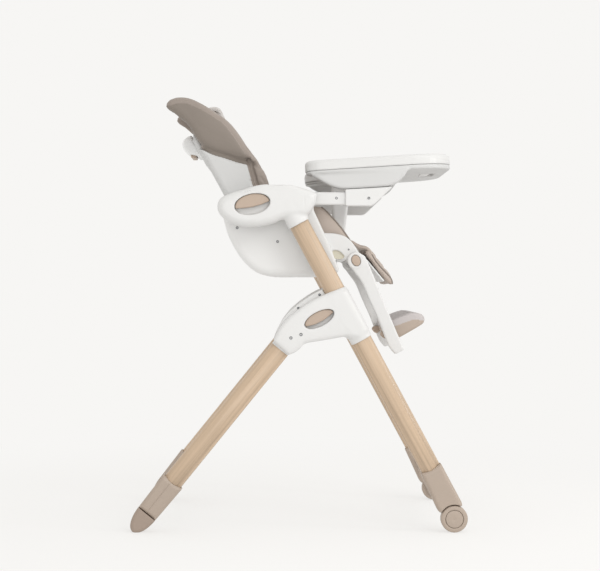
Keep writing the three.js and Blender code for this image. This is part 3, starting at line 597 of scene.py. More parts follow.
def lever(name, window, lower_edge, body):
    """The tan lever behind an oval window; its lower edge bows downwards."""
    face = OUTER_FACE
    x, z = window["at"]
    clay = Clay((x - 50, face - 20, z - 34), (x + 50, face, z + 38), 1.2)
    flat = oval(clay, shifted(window, 0.3), window["a"] - 0.9, window["b"] + 1, window["tilt"])
    clay.put(flat, face - 16, face - 4.8, 1.0, 2.5)
    below = [*lower_edge, (x + 90, z - 90), (x - 90, z - 90)]
    clay.take(rounded(below, 3), face - 40, face + 40, 0.5, k=3)
    moulded_pair(name, clay, TAN, body)


def levers():
    lever("height_lever", ARMREST_WINDOW,
          [(-190, 768), (-151.5, 768), (-132, 769), (-112, 771.8), (-90, 777.5), (-69.9, 786.2), (-40, 802)],
          "height_lever_{}")
    lever("fold_lever", FOLD_WINDOW,
          [(-20, 481), (14, 487.8), (38.4, 493.5), (59.2, 504), (74.8, 516.5), (110, 545)],
          "fold_lever_{}")


def front_feet():
    """A sleeve on the leg's end that flares into a fork for the wheel."""
    x, z = WHEEL_AT
    clay = Clay((284, 240, 8), (404, 290, 168), 1.5)
    flare = [(*on_leg(FRONT_LEG, 659, -27), 2), (332.5, 44.5, 14), (x, z + 8, 6), (391.5, 61.8, 14),
             (*on_leg(FRONT_LEG, 659, 27), 2)]
    clay.put(rounded(flare, 6), 246, 284, 10)
    clay.take(oval(clay, WHEEL_AT, 34.2, 34.2), 254, 300, 0.5, k=1.5)
    clay.put(oval(clay, WHEEL_AT, 20, 20), 246, 254, 3)
    strut = [on_leg({"at": WHEEL_AT, "lean": FRONT_LEG["lean"]}, along, across)
             for along, across in ((-60, -18), (0, -18), (0, 18), (-60, 18))]
    clay.put(np.array(strut), 246, 254, 3, k=3)
    clay.cut(clay.bar(FRONT_LEG, 600, 716, LEG_WIDTH + 1, LEG_DEPTH + 1, 0), 1.5)
    moulded_pair("front_foot_sleeve", clay, TAUPE, "front_frame")


def turned(name, profile, material, body, node, mirror, steps=72):
    """A piece turned about the wheel's axle, from a profile of (radius, y)."""
    points, faces = [], []
    rows = len(profile)
    for k in range(steps):
        angle = 2 * math.pi * k / steps
        for r, y in profile:
            points.append((WHEEL_AT[0] + r * math.cos(angle), y, WHEEL_AT[1] + r * math.sin(angle)))
    for k in range(steps):
        for j in range(rows):
            a, b = k * rows + j, k * rows + (j + 1) % rows
            after = (k + 1) % steps * rows
            faces.append((a, b, after + (j + 1) % rows, after + j))
    made = piece(name, points, faces, material, mirror)
    edge = made.modifiers.new("edge", "BEVEL")
    edge.width = 0.0006
    edge.segments = 2
    edge.limit_method = "ANGLE"
    edge.angle_limit = math.radians(25)
    apply_modifiers(made)
    return settle(made, body, [node])


def wheels():
    r = WHEEL_RADIUS
    tyre = [(5.3, 255), (r - 5, 255), (r - 2.2, 255.8), (r - 0.6, 257.6), (r, 260), (r, 278),
            (r - 0.6, 280.4), (r - 2.2, 282.2), (r - 5, 283), (22.3, 283), (21.6, 282.2), (21.4, 279.6),
            (5.3, 279.6)]
    cap = [(0.4, 280.2), (20.6, 280.2), (20.6, 282.4), (19.8, 283.1), (10, 283.3), (0.4, 283.3)]
    for side, mirror in SIDES:
        body = "wheel_" + side
        turned(f"wheel_{side}_tyre", tyre, TAUPE, body, "wheel_" + side, mirror)
        turned(f"wheel_{side}_cap", cap, TAUPE, body, "wheel_cap_" + side, mirror)


# ---- Rear legs ------------------------------------------------------------------------------

def rear_feet():
    """A sleeve with a parting line down its side, and a soft tip cut flat where it stands."""
    def frame_of(clay):
        angle = math.radians(REAR_LEG["lean"])
        dx, dz = clay.x - REAR_LEG["at"][0], clay.z - REAR_LEG["at"][1]
        return (dx * math.sin(angle) - dz * math.cos(angle), dx * math.cos(angle) + dz * math.sin(angle))

    sleeve = Clay((-392, 240, 16), (-262, 290, 158), 1.1)
    corners = [(*on_leg(REAR_LEG, along, across), 2)
               for along, across in ((408, -28), (504.9, -25.5), (504.9, 25.5), (408, 28))]
    sleeve.put(rounded(corners, 2), 246, 284, 10)
    _, across = frame_of(sleeve)
    for face in (246, 284):
        line = np.maximum(np.abs(across + 3) - 0.7, np.abs(sleeve.y - face) - 1.3)
        sleeve.cut(line, 0.8)
    sleeve.cut(sleeve.bar(REAR_LEG, 380, 471, LEG_WIDTH + 1, LEG_DEPTH + 1, 0), 1.5)
    moulded_pair("rear_foot_sleeve", sleeve, TAUPE, "rear_legs", relax=1)

    tip = Clay((-408, 240, -3), (-330, 290, 66), 1.2)
    at = on_leg(REAR_LEG, 505.5)
    tip.put(oval(tip, at, 25.5, 55.3, REAR_LEG["lean"]), 246, 284, 10)
    along, _ = frame_of(tip)
    tip.keep(506.1 - along, 1.0)
    tip.keep(-tip.z, 0.6)
    moulded_pair("rear_foot_tip", tip, RUBBER, "rear_legs", relax=1)


# ---- Seat carriage --------------------------------------------------------------------------

def armrests():
    clay = Clay((-205, 230, 698), (58, 296, 836), 1.8)
    outline = flowing([(-194, 772), (-191, 787), (-180, 798), (-157, 807), (-135, 813.5), (-101.5, 823.5),
                       (-71, 827), (-45, 827.3), (-20, 825.5), (11, 817), (36, 808), (42, 801), (38, 782),
                       (27, 762), (12, 750), (-12, 748), (-30, 746), (-45, 741), (-64, 733), (-90, 727),
                       (-116, 725.5), (-141, 728), (-167, 737), (-183, 749), (-191, 760)])
    clay.put(outline, 236, 290, 8, 17, crown=2.5)
    clay.add(clay.bar(FRONT_LEG, -78, 0, 54, 44, 3), 5)
    seam = np.maximum(np.abs(clay.x - 12.5) - 0.9, 288.6 - clay.y)
    clay.cut(np.maximum(seam, 764 - clay.z), 0.8)
    clay.keep(clay.y - OUTER_FACE)
    window = ARMREST_WINDOW
    clay.take(oval(clay, shifted(window, 6.2), 44.4, 26, window["tilt"]), 272, 285.6, 0.5)
    clay.take(opening(clay, window), 272, 300, 0.5, k=3.5)
    clay.cut(clay.bar(FRONT_LEG, -150, 20, LEG_WIDTH + 1.4, LEG_DEPTH + 1.4, 0), 2)
    moulded_pair("armrest_housing", clay, WHITE, "seat_carriage")


def side_frames():
    """Rail beside the leg, fender over the legrest's hinge, and the arm that carries the tray."""
    clay = Clay((-86, 194, 606), (160, 242, 816), 2.0)
    rail = [(-80, 795), (-80, 752), (-38, 752), (-12, 728), (22, 668), (50, 614), (90, 614), (97, 624),
            (61, 712), (35, 768), (35, 805), (-20, 805)]
    fender = [(40, 700), (58, 713, 8), (86, 713, 20), (113, 706, 20), (132, 688, 20), (152, 655, 12),
              (148, 632, 10), (128, 628, 8), (113, 650, 8), (70, 646), (50, 660)]
    recess = [(80, 671, 5), (96, 671, 8), (111, 657, 6), (106, 650.5, 4), (86, 650, 4)]
    arm = [(30, 779.6), (122, 779.6), (150, 810.7), (30, 810.7)]
    clay.put(rounded(rail, 6), 200.4, 235.6, 3, 5)
    clay.put(rounded(fender, 5), 200.4, 209, 1.5, 2.5, k=5)
    clay.put(rounded(arm, 2), 216, 234, 3, k=6)
    clay.take(rounded(recess, 4), 203.5, 222, 0, k=1.0)
    clay.take(oval(clay, LEGREST_PIVOT, 6.4, 6.4), 190, 215, 0)
    clay.keep(200.4 - clay.y)
    for made in moulded_pair("side_frame", clay, WHITE, "seat_carriage"):
        # The recess floor takes the cream copy: painted shade in the recess.
        made.data.materials.append(WHITE_RECESS_PAINTED_SHADE)
        places = points_of(made)
        depth = np.abs(places[:, 1])
        within = plane_distance(rounded(recess, 4), places[:, 0], places[:, 2]) < 1.5
        inside = within & (depth > 202) & (depth < 207.6)
        for face in made.data.polygons:
            if all(inside[i] for i in face.vertices):
                face.material_index = 1


def seat_shell():
    """A bucket with thin walls and well-rounded edges, open behind for the backrest."""
    clay = Clay((-196, -204, 602), (128, 204, 776), 2.5)
    outline = [(-189, 768, 2), (-183, 744, 14), (-174, 710, 14), (-158, 678, 14), (-141, 651, 14),
               (-122, 631, 14), (-99, 614, 18), (-66, 607.5, 20), (78, 608, 12), (90, 622, 8), (93, 650, 4),
               (121, 650, 2), (121, 668, 6), (60, 690, 10), (50, 714, 10), (25, 768, 2)]
    hollow = [(-184, 800, 2), (-178, 744, 14), (-169, 712, 14), (-153, 680, 14), (-137, 654, 14),
              (-119, 636, 14), (-97, 619.5, 16), (-66, 613, 16), (76, 613, 10), (85, 624, 8), (87, 655, 3),
              (140, 655, 1), (140, 800, 1)]
    clay.put(rounded(outline, 6), -200, 200, 18)
    clay.take(rounded(hollow, 6), -195, 195, 13, k=1.5)
    rear = [(-210, 690), (-130, 690), (-130, 800), (-210, 800)]
    clay.take(rounded(rear, 1), -178, 178, 8, k=1.5)
    # The shell takes the brighter white: painted light against the shade beside the legs.
    moulded("seat_shell_bucket", clay, WHITE_SHELL_PAINTED_LIGHT, "seat_carriage", ["seat_shell"])


# ---- Backrest -------------------------------------------------------------------------------

HOOD_EDGE = [(-249, 939), (-232, 925), (-206, 913), (-180.5, 906), (-146, 894), (-122, 888)]


def backrest_shell():
    clay = Clay((-262, -172, 630), (-50, 172, 1010), 2.6)
    under = [(x, z - 1.2, 4) for x, z in HOOD_EDGE[1:]]
    side = [(-114, 652, 12), on_back(700), on_back(816), on_back(921), *under, (-107.5, 834, 20),
            (-84, 770, 20), (-60, 700, 16), (-66, 640, 12), (-100, 636, 12)]
    inside = [on_back(600, 4), on_back(1060, 4), (100, 1060), (100, 600)]
    clay.put(rounded(side, 3), -167, 167, 15)
    clay.take(np.array(inside), -163, 163, 11, k=1.0)
    rim = clay.side(rounded(side, 3))
    front = np.abs(rim + 9) - 2.2
    for sign in (-1, 1):
        raised = np.maximum(np.maximum(front, np.abs(clay.y * sign - 166.2) - 1.6), 845 - clay.z)
        clay.add(np.maximum(raised, -150 - clay.x), 1.5)
    tongue = [on_back(880, -3.5), on_back(956, -3.5), on_back(956, 10), on_back(880, 10)]
    clay.put(rounded(tongue, 3), -146, 146, 3, k=2)
    # The backrest shell takes the darker white: painted shade.
    moulded("backrest_shell_back", clay, WHITE_PAINTED_SHADE, "backrest", ["backrest_shell"], relax=1)


def recline_handle():
    """A grip across the back of the shell, with the tan trigger in its underside."""
    clay = Clay((-304, -62, 900), (-226, 62, 976), 1.6)
    bar = [(*on_back(966, -0.4), 4), (-286, 960, 14), (-296, 948, 14), (-292, 928, 12), (-279, 918, 6),
           (-256, 914, 6), (*on_back(910, -0.4), 4)]
    clay.put(rounded(bar, 6), -56, 56, 9)
    slot = [(-275, 890), (-260.5, 890), (-260.5, 927), (-275, 927)]
    clay.take(rounded(slot, 2), -40, 40, 2, k=2)
    lip = [(-257, 920), (-257, 911, 3), (-250, 910, 3), (-246, 920)]
    clay.put(rounded(lip, 2), -44, 44, 2, k=2)
    # The grip takes the brighter white: painted light against the shade behind the back.
    moulded("recline_handle_grip", clay, WHITE_PAINTED_LIGHT, "backrest", ["recline_handle"])
    pull = Clay((-280, -42, 904), (-256, 42, 924), 1.0)
    tab = [(-274, 909.5, 3), (-261.5, 909.5, 3), (-261.5, 920, 3), (-274, 920, 3)]
    pull.put(rounded(tab, 3), -39, 39, 2.5)
    moulded("recline_trigger_pull", pull, TAN, "recline_trigger", ["recline_trigger"])


# ---- Legrest --------------------------------------------------------------------------------

def legrest_arms():
    clay = Clay((108, 205, 410), (264, 226, 674), 1.5)
    arm = [(118, 640, 8), (133, 618, 10), (152.6, 592.5, 14), (171, 547, 14), (190, 506, 14), (209.5, 454, 8),
           (218, 435, 8), (232, 419.5, 5), (254, 431, 5), (245, 452, 10), (222, 506, 14), (192, 579, 14),
           (176, 620, 14), (157, 662, 10), (137, 660, 8)]
    clay.put(rounded(arm, 6), 209.5, 221.5, 2, 3.5)
    clay.put(oval(clay, LEGREST_PIVOT, 20.7, 20.7), 209.5, 222.5, 2, 2.5, k=1.0)
    ring = np.abs(np.hypot(clay.x - LEGREST_PIVOT[0], clay.z - LEGREST_PIVOT[1]) - 18.6) - 0.5
    clay.cut(np.maximum(ring, 222.0 - clay.y), 0.6)
    clay.take(oval(clay, LEGREST_PIVOT, 10.9, 14, 20), 215.4, 230, 0.5, k=1.2)
    clay.take(oval(clay, LEGREST_PIVOT, 6.4, 6.4), 200, 230, 0)
    moulded_pair("legrest_arm", clay, WHITE, "legrest", relax=1)
    button = Clay((120, 200, 626), (155, 228, 668), 0.9)
    button.put(oval(button, LEGREST_PIVOT, 10.3, 13.4, 20), 219, 224.2, 0.5, 1.8, crown=0.8)
    button.put(oval(button, LEGREST_PIVOT, 6, 6), 204.4, 222, 1)
    moulded_pair("legrest_button", button, TAN, "legrest_button_{}", relax=1)


def legrest_panel():
    """The thin board behind the leg pad, carried between the arms."""
    clay = Clay((146, -206, 580), (216, 206, 666), 1.8)
    board = [(152, 657, 1), (156, 660, 1), (208, 597.6, 2), (204, 594, 2)]
    clay.put(rounded(board, 2), -197, 197, 2)
    moulded("legrest_panel_board", clay, WHITE, "legrest", ["legrest_panel"], relax=1)


FOOT_SEAM = [(190, 470), (228, 484), (279, 502.5), (300, 500), (330, 489), (330, 600), (190, 600)]


def footplate():
    """A wedge of a step, with rounded ends and ribs across its top for grip."""
    clay = Clay((200, -200, 448), (314, 200, 526), 2.0)
    profile = [(209, 497, 6), (226, 502, 8), (250, 512.5, 14), (274, 520.5, 14), (294, 519, 12),
               (304.6, 512.5, 8), (309.4, 502, 8), (305, 494, 8), (243, 458.5, 8), (226, 455, 6),
               (214, 470, 6)]
    flat = clay.side(rounded(profile, 5))
    corner = clay.plan(rounded([(190, -195.7, 4), (313, -195.7, 44), (313, 195.7, 44), (190, 195.7, 4)], 4))
    clay.put(flat, -195.7, 195.7, 6)
    clay.keep(corner, 8)
    for k in range(5):
        x = 232 + 10 * k
        z = 501.5 + (x - 226) * 0.40
        rib = np.hypot(clay.x - x, (clay.z - z) * 1.6) - 2.0
        clay.add(np.maximum(rib, np.abs(clay.y) - 160), 1.5)
    groove = np.abs(clay.side(np.array(FOOT_SEAM))) - 0.9
    rim = np.maximum(flat, np.abs(clay.y) - 195.7)
    clay.cut(np.maximum(groove, -rim - 1.6), 1.0)
    made = moulded("footplate_step", clay, TAUPE, "footplate", ["footplate"])
    # Faces above the seam take the lighter, greyer taupe: painted light on the step's top.
    made.data.materials.append(TAUPE_TOP_PAINTED_LIGHT)
    places = points_of(made)
    above = plane_distance(np.array(FOOT_SEAM), places[:, 0], places[:, 2]) < 0
    for face in made.data.polygons:
        if all(above[i] for i in face.vertices):
            face.material_index = 1


# ---- Tray -----------------------------------------------------------------------------------

def on_tray(points):
    """Points in the tray's tipped frame, put in the row frame."""
    angle = math.radians(TRAY_TILT)
    x, y, z = points.T
    return np.stack([TRAY_AT[0] + x * math.cos(angle) - z * math.sin(angle), y,
                     TRAY_AT[1] + x * math.sin(angle) + z * math.cos(angle)], 1)


def to_tray(corners):
    """Side-view corners in the row frame, put in the tray's tipped frame."""
    angle = math.radians(TRAY_TILT)
    made = []
    for x, z, *own in corners:
        dx, dz = x - TRAY_AT[0], z - TRAY_AT[1]
        made.append((dx * math.cos(angle) + dz * math.sin(angle),
                     dz * math.cos(angle) - dx * math.sin(angle), *own))
    return made


def tray_plan(inset):
    """The tray's outline from above, with the hollow for the child's belly."""
    rear, front, wide = inset, 363 - inset, 250 - inset
    return rounded([(rear, wide, 44), (front - 4, wide - 14, 118), (front - 4, 14 - wide, 118),
                    (rear, -wide, 44), (rear, -150 - inset, 26), (62 + inset, -96 - inset, 60),
                    (62 + inset, 96 + inset, 60), (rear, 150 + inset, 26)], 20, 10)


def raised(clay, flat, low, high, r_low, r_high):
    """A plan stood up between two heights, with its two edges rounded."""
    middle, half = (low + high) / 2, (high - low) / 2
    return edged(flat, np.abs(clay.z - middle) - half, np.where(clay.z > middle, r_high, r_low))


def tray():
    top = Clay((-6, -254, 20), (368, 254, 53), 2.4)
    top.add(raised(top, top.plan(tray_plan(0)), 23.8, 49, 0.6, 9))
    top.cut(raised(top, top.plan(tray_plan(17)), 31, 70, 7, 0), 6)
    # The tray's top takes a darker white: painted shade on its rim.
    moulded("tray_top_dish", top, WHITE_TRAY_PAINTED_SHADE, "tray_top", ["tray_top"], place=on_tray)

    base = Clay((-6, -250, -32), (368, 250, 28), 2.4)

    def keel(rise):
        return base.z - (17.0 - 0.0151 * base.x + rise)

    plan = base.plan(tray_plan(1.2))
    solid = soft_max(raised(base, plan, -40, 23.6, 0.5, 0.5), -keel(0), 5)
    hollow = soft_max(base.plan(tray_plan(6)), -keel(3.5), 4)
    skirt = to_tray([(30, 857, 3), (31, 850, 6), (44, 843, 10), (60, 833, 12), (78, 824, 12),
                     (103, 817.5, 14), (153, 820, 20), (216, 824, 10), (229, 829, 10), (241.5, 836, 10),
                     (254, 850, 8), (263, 864, 4), (263, 868, 2), (60, 859, 3)])
    base.add(np.maximum(solid, -hollow))
    for sign in (-1, 1):
        low, high = sorted((sign * 206, sign * 241))
        base.put(rounded(skirt, 8), low, high, 6, k=6)
    base.cut(hollow, 1.0)
    block = np.maximum(np.abs(base.x - 310) - 24, np.abs(base.y) - 52)
    base.add(np.maximum(np.maximum(block, base.z - 23), -keel(0)), 2)
    room = np.maximum(np.maximum(np.abs(base.x - 310) - 18, np.abs(base.y) - 46), base.z - 20)
    base.cut(room, 1)
    # The tray's base takes the darker white: painted shade under the top.
    moulded("tray_base_pan", base, WHITE_PAINTED_SHADE, "tray", ["tray_base"], place=on_tray)

    bracket = Clay((106, 207, 772), (232, 243, 830), 1.2)
    outline = [(111, 779, 2), (113, 776.8, 2), (173, 776.8, 5), (180, 780, 8), (226, 824, 6), (216, 823, 2),
               (153, 819.2, 2), (111, 817.1, 2)]
    bracket.put(rounded(outline, 3), 211, 239, 2.5)
    arm = [(90, 779.3), (173, 779.3), (201, 811.2), (90, 811.2)]
    bracket.take(np.array(arm), 215.4, 234.6, 0, k=0.5)
    moulded_pair("tray_bracket", bracket, WHITE, "tray")

    post = Clay((74, -18, 700), (134, 18, 866), 2.0)
    column = [(84, 855.8, 5), (82, 785, 14), (90, 716, 10), (97, 706, 8), (109, 706, 8), (117, 716, 10),
              (125, 785, 14), (128, 858.0, 5)]
    post.put(rounded(column, 6), -12, 12, 8)
    # The post takes the brighter white: painted light against the shade under the tray.
    moulded("crotch_post_column", post, WHITE_PAINTED_LIGHT, "tray", ["crotch_post"])


# ---- Soft goods -----------------------------------------------------------------------------

def points_of(made):
    return np.array([vertex.co for vertex in made.data.vertices], float) / MM


def move_points(made, points):
    made.data.vertices.foreach_set("co", (points * MM).ravel())
    made.data.update()


def normals_of(made):
    return np.array([vertex.normal for vertex in made.data.vertices], float)


FOAM_PRESSURE = 4.0
LAST_FRAME = 20


def inflate(made, cap, resting):
    """Blows a cover up over its foam. Resting points stay put, and none moves further than the cap."""
    before = points_of(made)
    group = made.vertex_groups.new(name="resting")
    group.add([int(i) for i in np.flatnonzero(resting(before))], 1.0, "REPLACE")
    cloth = made.modifiers.new("cloth", "CLOTH")
    settings = cloth.settings
    settings.quality = 4
    settings.mass = 0.2
    settings.tension_stiffness = 18
    settings.compression_stiffness = 18
    settings.shear_stiffness = 8
    settings.bending_stiffness = 1.2
    settings.use_pressure = True
    settings.uniform_pressure_force = FOAM_PRESSURE
    settings.effector_weights.gravity = 0
    settings.vertex_group_mass = "resting"
    cloth.point_cache.frame_start = 1
    cloth.point_cache.frame_end = LAST_FRAME
    for frame in range(1, LAST_FRAME + 1):
        bpy.context.scene.frame_set(frame)
    apply_modifiers(made)
    bpy.context.scene.frame_set(1)
    move = points_of(made) - before
    length = np.linalg.norm(move, axis=1, keepdims=True)
    move_points(made, before + move * np.minimum(1, cap / np.maximum(length, 1e-6)))
    made.vertex_groups.clear()


def stuffed(name, clay, cap, resting, material=None):
    """A closed cover over foam, skinned a little small and then blown up, with one subdivision."""
    points, faces = skin(clay)
    made = piece(name, points, faces, material or LEATHER)
    relax = made.modifiers.new("relax", "SMOOTH")
    relax.factor = 0.5
    relax.iterations = 3
    apply_modifiers(made)
    inflate(made, cap, resting)
    finer = made.modifiers.new("finer", "SUBSURF")
    finer.levels = finer.render_levels = 1
    apply_modifiers(made)
    made.data.shade_smooth()
    return made


def sewn(made, distance, depth, width):
    """Pulls a cover in along a sewn line. The distance from the line is given for every point."""
    points = points_of(made)
    far = distance(points)
    move_points(made, points - normals_of(made) * (depth * np.exp(-(far / width) ** 2))[:, None])


def line_distance(points, line):
    """How far points (n, 3) are from a line through 3-D corners."""
    best = np.full(len(points), 1e9)
    for a, b in zip(line[:-1], line[1:]):
        a, way = np.array(a, float), np.array(b, float) - np.array(a, float)
        t = np.clip((points - a) @ way / max(way @ way, 1e-9), 0, 1)
        best = np.minimum(best, np.linalg.norm(points - a - t[:, None] * way, axis=1))
    return best


def dense(line, step=3.0):
    """A 3-D line with a point every few millimetres."""
    made = []
    for a, b in zip(line[:-1], line[1:]):
        a, b = np.array(a, float), np.array(b, float)
        count = max(1, int(np.linalg.norm(b - a) / step))
        made += [a + (b - a) * k / count for k in range(count)]
    return np.array(made + [np.array(line[-1], float)])


def piping(name, line, radius, body, on, sink):
    """A round cord along a line, laid on the surface of a piece and let into it by sink."""
    sides = 8
    laid = []
    for point in dense(line):
        hit, place, normal, _ = on.closest_point_on_mesh(Vector(point * MM))
        laid.append(np.array(place) / MM + np.array(normal) * (radius - sink) if hit else point)
    path = np.array(laid)
    for _ in range(6):
        path[1:-1] = path[1:-1] * 0.5 + (path[:-2] + path[2:]) * 0.25
    count = len(path)
    tangent = np.roll(path, -1, 0) - np.roll(path, 1, 0)
    tangent[0], tangent[-1] = path[1] - path[0], path[-1] - path[-2]
    tangent /= np.maximum(np.linalg.norm(tangent, axis=1, keepdims=True), 1e-9)
    side = np.cross(tangent, (0.13, 0.97, 0.21))
    side /= np.linalg.norm(side, axis=1, keepdims=True)
    other = np.cross(tangent, side)
    points, faces = [], []
    for k in range(count):
        for j in range(sides):
            angle = 2 * math.pi * j / sides
            points.append(path[k] + radius * (side[k] * math.cos(angle) + other[k] * math.sin(angle)))
    for k in range(count - 1):
        for j in range(sides):
            a, b = k * sides + j, k * sides + (j + 1) % sides
            faces.append((a, b, b + sides, a + sides))
    faces += [tuple(range(sides))[::-1], tuple((count - 1) * sides + j for j in range(sides))]
    settle(piece(name, np.array(points), faces, PIPING), body, ())


def strip(line, half):
    """The outline of a strip of even thickness along a line in the side view."""
    line = np.array(line, float)
    way = np.gradient(line, axis=0)
    way /= np.linalg.norm(way, axis=1, keepdims=True)
    across = np.stack([-way[:, 1], way[:, 0]], 1) * half
    return np.concatenate([line + across, (line - across)[::-1]])


def smooth_line(corners, steps=8):
    """An open smooth curve through corners in the side view."""
    p = np.array(corners, float)
    p = np.concatenate([[2 * p[0] - p[1]], p, [2 * p[-1] - p[-2]]])
    made = []
    for i in range(1, len(p) - 2):
        made += between(*p[i - 1:i + 3], steps)
    return np.array(made + [p[-2]])


SHRINK = 1.5  # a cover starts this much inside its final surface

HOOD = [(-331, 1027), (-319, 1043), (-301, 1049), (-283.5, 1049.5), (-266, 1047), (-249, 1041), (-232, 1033),
        (-210, 1020), (-180.5, 1000), (-163, 983), (-146, 961), (-129, 935.5), (-112, 910), (-97, 889),
        (-97, 885), (-104, 882), (-110, 884), (-122, 888), (-146, 894), (-180.5, 906), (-206, 913),
        (-232, 925), (-249, 939), (-259.5, 954), (-266, 968), (-278, 982), (-292, 994), (-309, 1008),
        (-321, 1014)]
HOOD_HALF = 176
WING_BAND = 16


def height_on_back(points):
    """Heights and forward distances of points in the back's own tipped frame."""
    angle = math.radians(BACK_LEAN)
    dx, dz = points[:, 0] - BACK_AT[0], points[:, 2] - BACK_AT[1]
    return BACK_AT[1] + (dz * math.cos(angle) - dx * math.sin(angle)) * math.cos(angle), \
        dx * math.cos(angle) + dz * math.sin(angle)


def back_cushion():
    """A padded back whose two wings grow into a hood round the child's head."""
    clay = Clay((-346, -190, 676), (-30, 190, 1064), 5.0)
    hood = clay.side(np.array(HOOD))
    clay.put(hood, -HOOD_HALF, HOOD_HALF, 17)
    body = [on_back(690, 5), on_back(930, 5), (-180, 932), (-112, 908), (-95, 885.5), (-79, 859),
            (-71.5, 836), (-60, 790), (-46, 715), (-70, 692)]
    clay.put(rounded(body, 8), -162.5, 162.5, 12, k=3)
    child = [on_back(630, 30), on_back(940, 30), on_back(985, 40), on_back(1012, 56), (-150, 1120),
             (200, 1100), (200, 600)]
    clay.take(rounded(child, 14), -139, 139, 14, k=10)
    under = [(-253, 944), (-250, 962), (-254, 980), (-263, 995), (-277, 1009), (-296, 1024), (-318, 1040),
             (-340, 1056), (-372, 1000), (-290, 920)]
    clay.cut(np.maximum(clay.side(np.array(under)), np.abs(clay.y) - 152), 6)
    slit = [(-126, 896), (-119, 884), (-105.5, 838), (-82.5, 772), (-58, 704)]
    clay.cut(np.maximum(clay.side(strip(slit, 3.6)), 153 - np.abs(clay.y)), 1.0)
    clay.d = clay.d + SHRINK
    made = stuffed("back_cushion_cover", clay, 7.0,
                   lambda p: (height_on_back(p)[1] < np.where(p[:, 2] > 940, 24, 9))
                   | ((np.abs(p[:, 1]) > 146) & (p[:, 2] < 885)), LEATHER_BACK)

    def quilting(points):
        height, forward = height_on_back(points)
        rows = np.abs((height - 716) % 56 - 28)
        inner = (np.abs(points[:, 1]) < 128) & (forward < 60) & (forward > 18) & (height < 960)
        return np.where(inner, rows, 1e3)

    def pad_edge(points):
        _, forward = height_on_back(points)
        return np.where((forward < 60) & (forward > 18), np.abs(np.abs(points[:, 1]) - 118), 1e3)

    sewn(made, quilting, 4.5, 5.0)
    sewn(made, pad_edge, 4.0, 4.5)
    points = points_of(made)
    depth = line_distance(points * (1, 0, 1), [(x, 0, z) for x, z in HOOD[1:14]])
    outside = np.abs(points[:, 1]) > 150
    sewn(made, lambda p: np.where(outside, np.abs(depth - WING_BAND), 1e3), 1.6, 2.6)
    # The hood's side panels behind the rounded front band take the darker leatherette: painted shade on the
    # sides.
    made.data.materials.append(LEATHER_SIDE_PAINTED_SHADE)
    for face in made.data.polygons:
        dark = all(depth[i] > WING_BAND and abs(points[i][1]) > 158 for i in face.vertices)
        if dark and points[face.vertices[0]][2] > 880:
            face.material_index = 1
    creases(made)
    settle(made, "backrest", ["back_cushion"])


def creases(made):
    """Slanting folds where the cover is drawn tight beside the seat."""
    for sign in (-1, 1):
        for a, b in (((-84, 862), (-70, 838)), ((-92, 850), (-66, 815)), ((-96, 836), (-72, 800)),
                     ((-100, 812), (-66, 780))):
            line = [(a[0], sign * 162, a[1]), (b[0], sign * 162, b[1]), (b[0] + 4, sign * 150, b[1])]
            sewn(made, lambda p: line_distance(p, line), 2.2, 3.0)


SEAT_WING = [(-44, 640), (79, 654), (124, 666), (129, 682), (127, 698), (108, 725), (80, 757), (57, 781),
             (-36, 781), (-46, 700)]
SEAT_PAD = [(-60, 633), (-46, 629.2), (79, 656.6), (85, 661), (124, 661), (130, 672), (128, 692), (112, 699),
            (50, 688), (-40, 662), (-62, 652)]


def seat_cushion():
    """A seat pad with a low wing on each side."""
    clay = Clay((-76, -204, 616), (144, 204, 796), 5.0)
    clay.put(rounded(SEAT_PAD, 6), -191, 191, 9)
    wing = clay.side(rounded(SEAT_WING, 10))
    for low, high in ((-192, -167), (167, 192)):
        clay.put(wing, low, high, 11, k=10)
    clay.d = clay.d + SHRINK
    made = stuffed("seat_cushion_cover", clay, 6.0,
                   lambda p: (p[:, 2] < 640 + (p[:, 0] + 46) * 0.2) | (np.abs(p[:, 1]) > 186))

    def rows(points):
        inner = (np.abs(points[:, 1]) < 150) & (points[:, 2] > 640)
        return np.where(inner, np.minimum(np.abs(points[:, 0] - 20), np.abs(points[:, 0] - 72)), 1e3)

    def pad_edge(points):
        return np.where(points[:, 2] < 712, np.abs(np.abs(points[:, 1]) - 150), 1e3)

    sewn(made, rows, 4.0, 5.0)
    sewn(made, pad_edge, 3.5, 4.5)
    settle(made, "seat_carriage", ["seat_cushion"])
    for side, sign in SIDES:
        edge = [(57, 783), (80, 759), (108, 727), (129, 699), (131, 684)]
        piping(f"seat_wing_piping_{side}", [(x, sign * 188, z) for x, z in edge], 1.9, "seat_carriage",
               made, 0.8)


LEG_PAD = [(157, 667), (171, 680), (203, 637), (228, 605), (234, 581), (218, 588), (206, 601)]


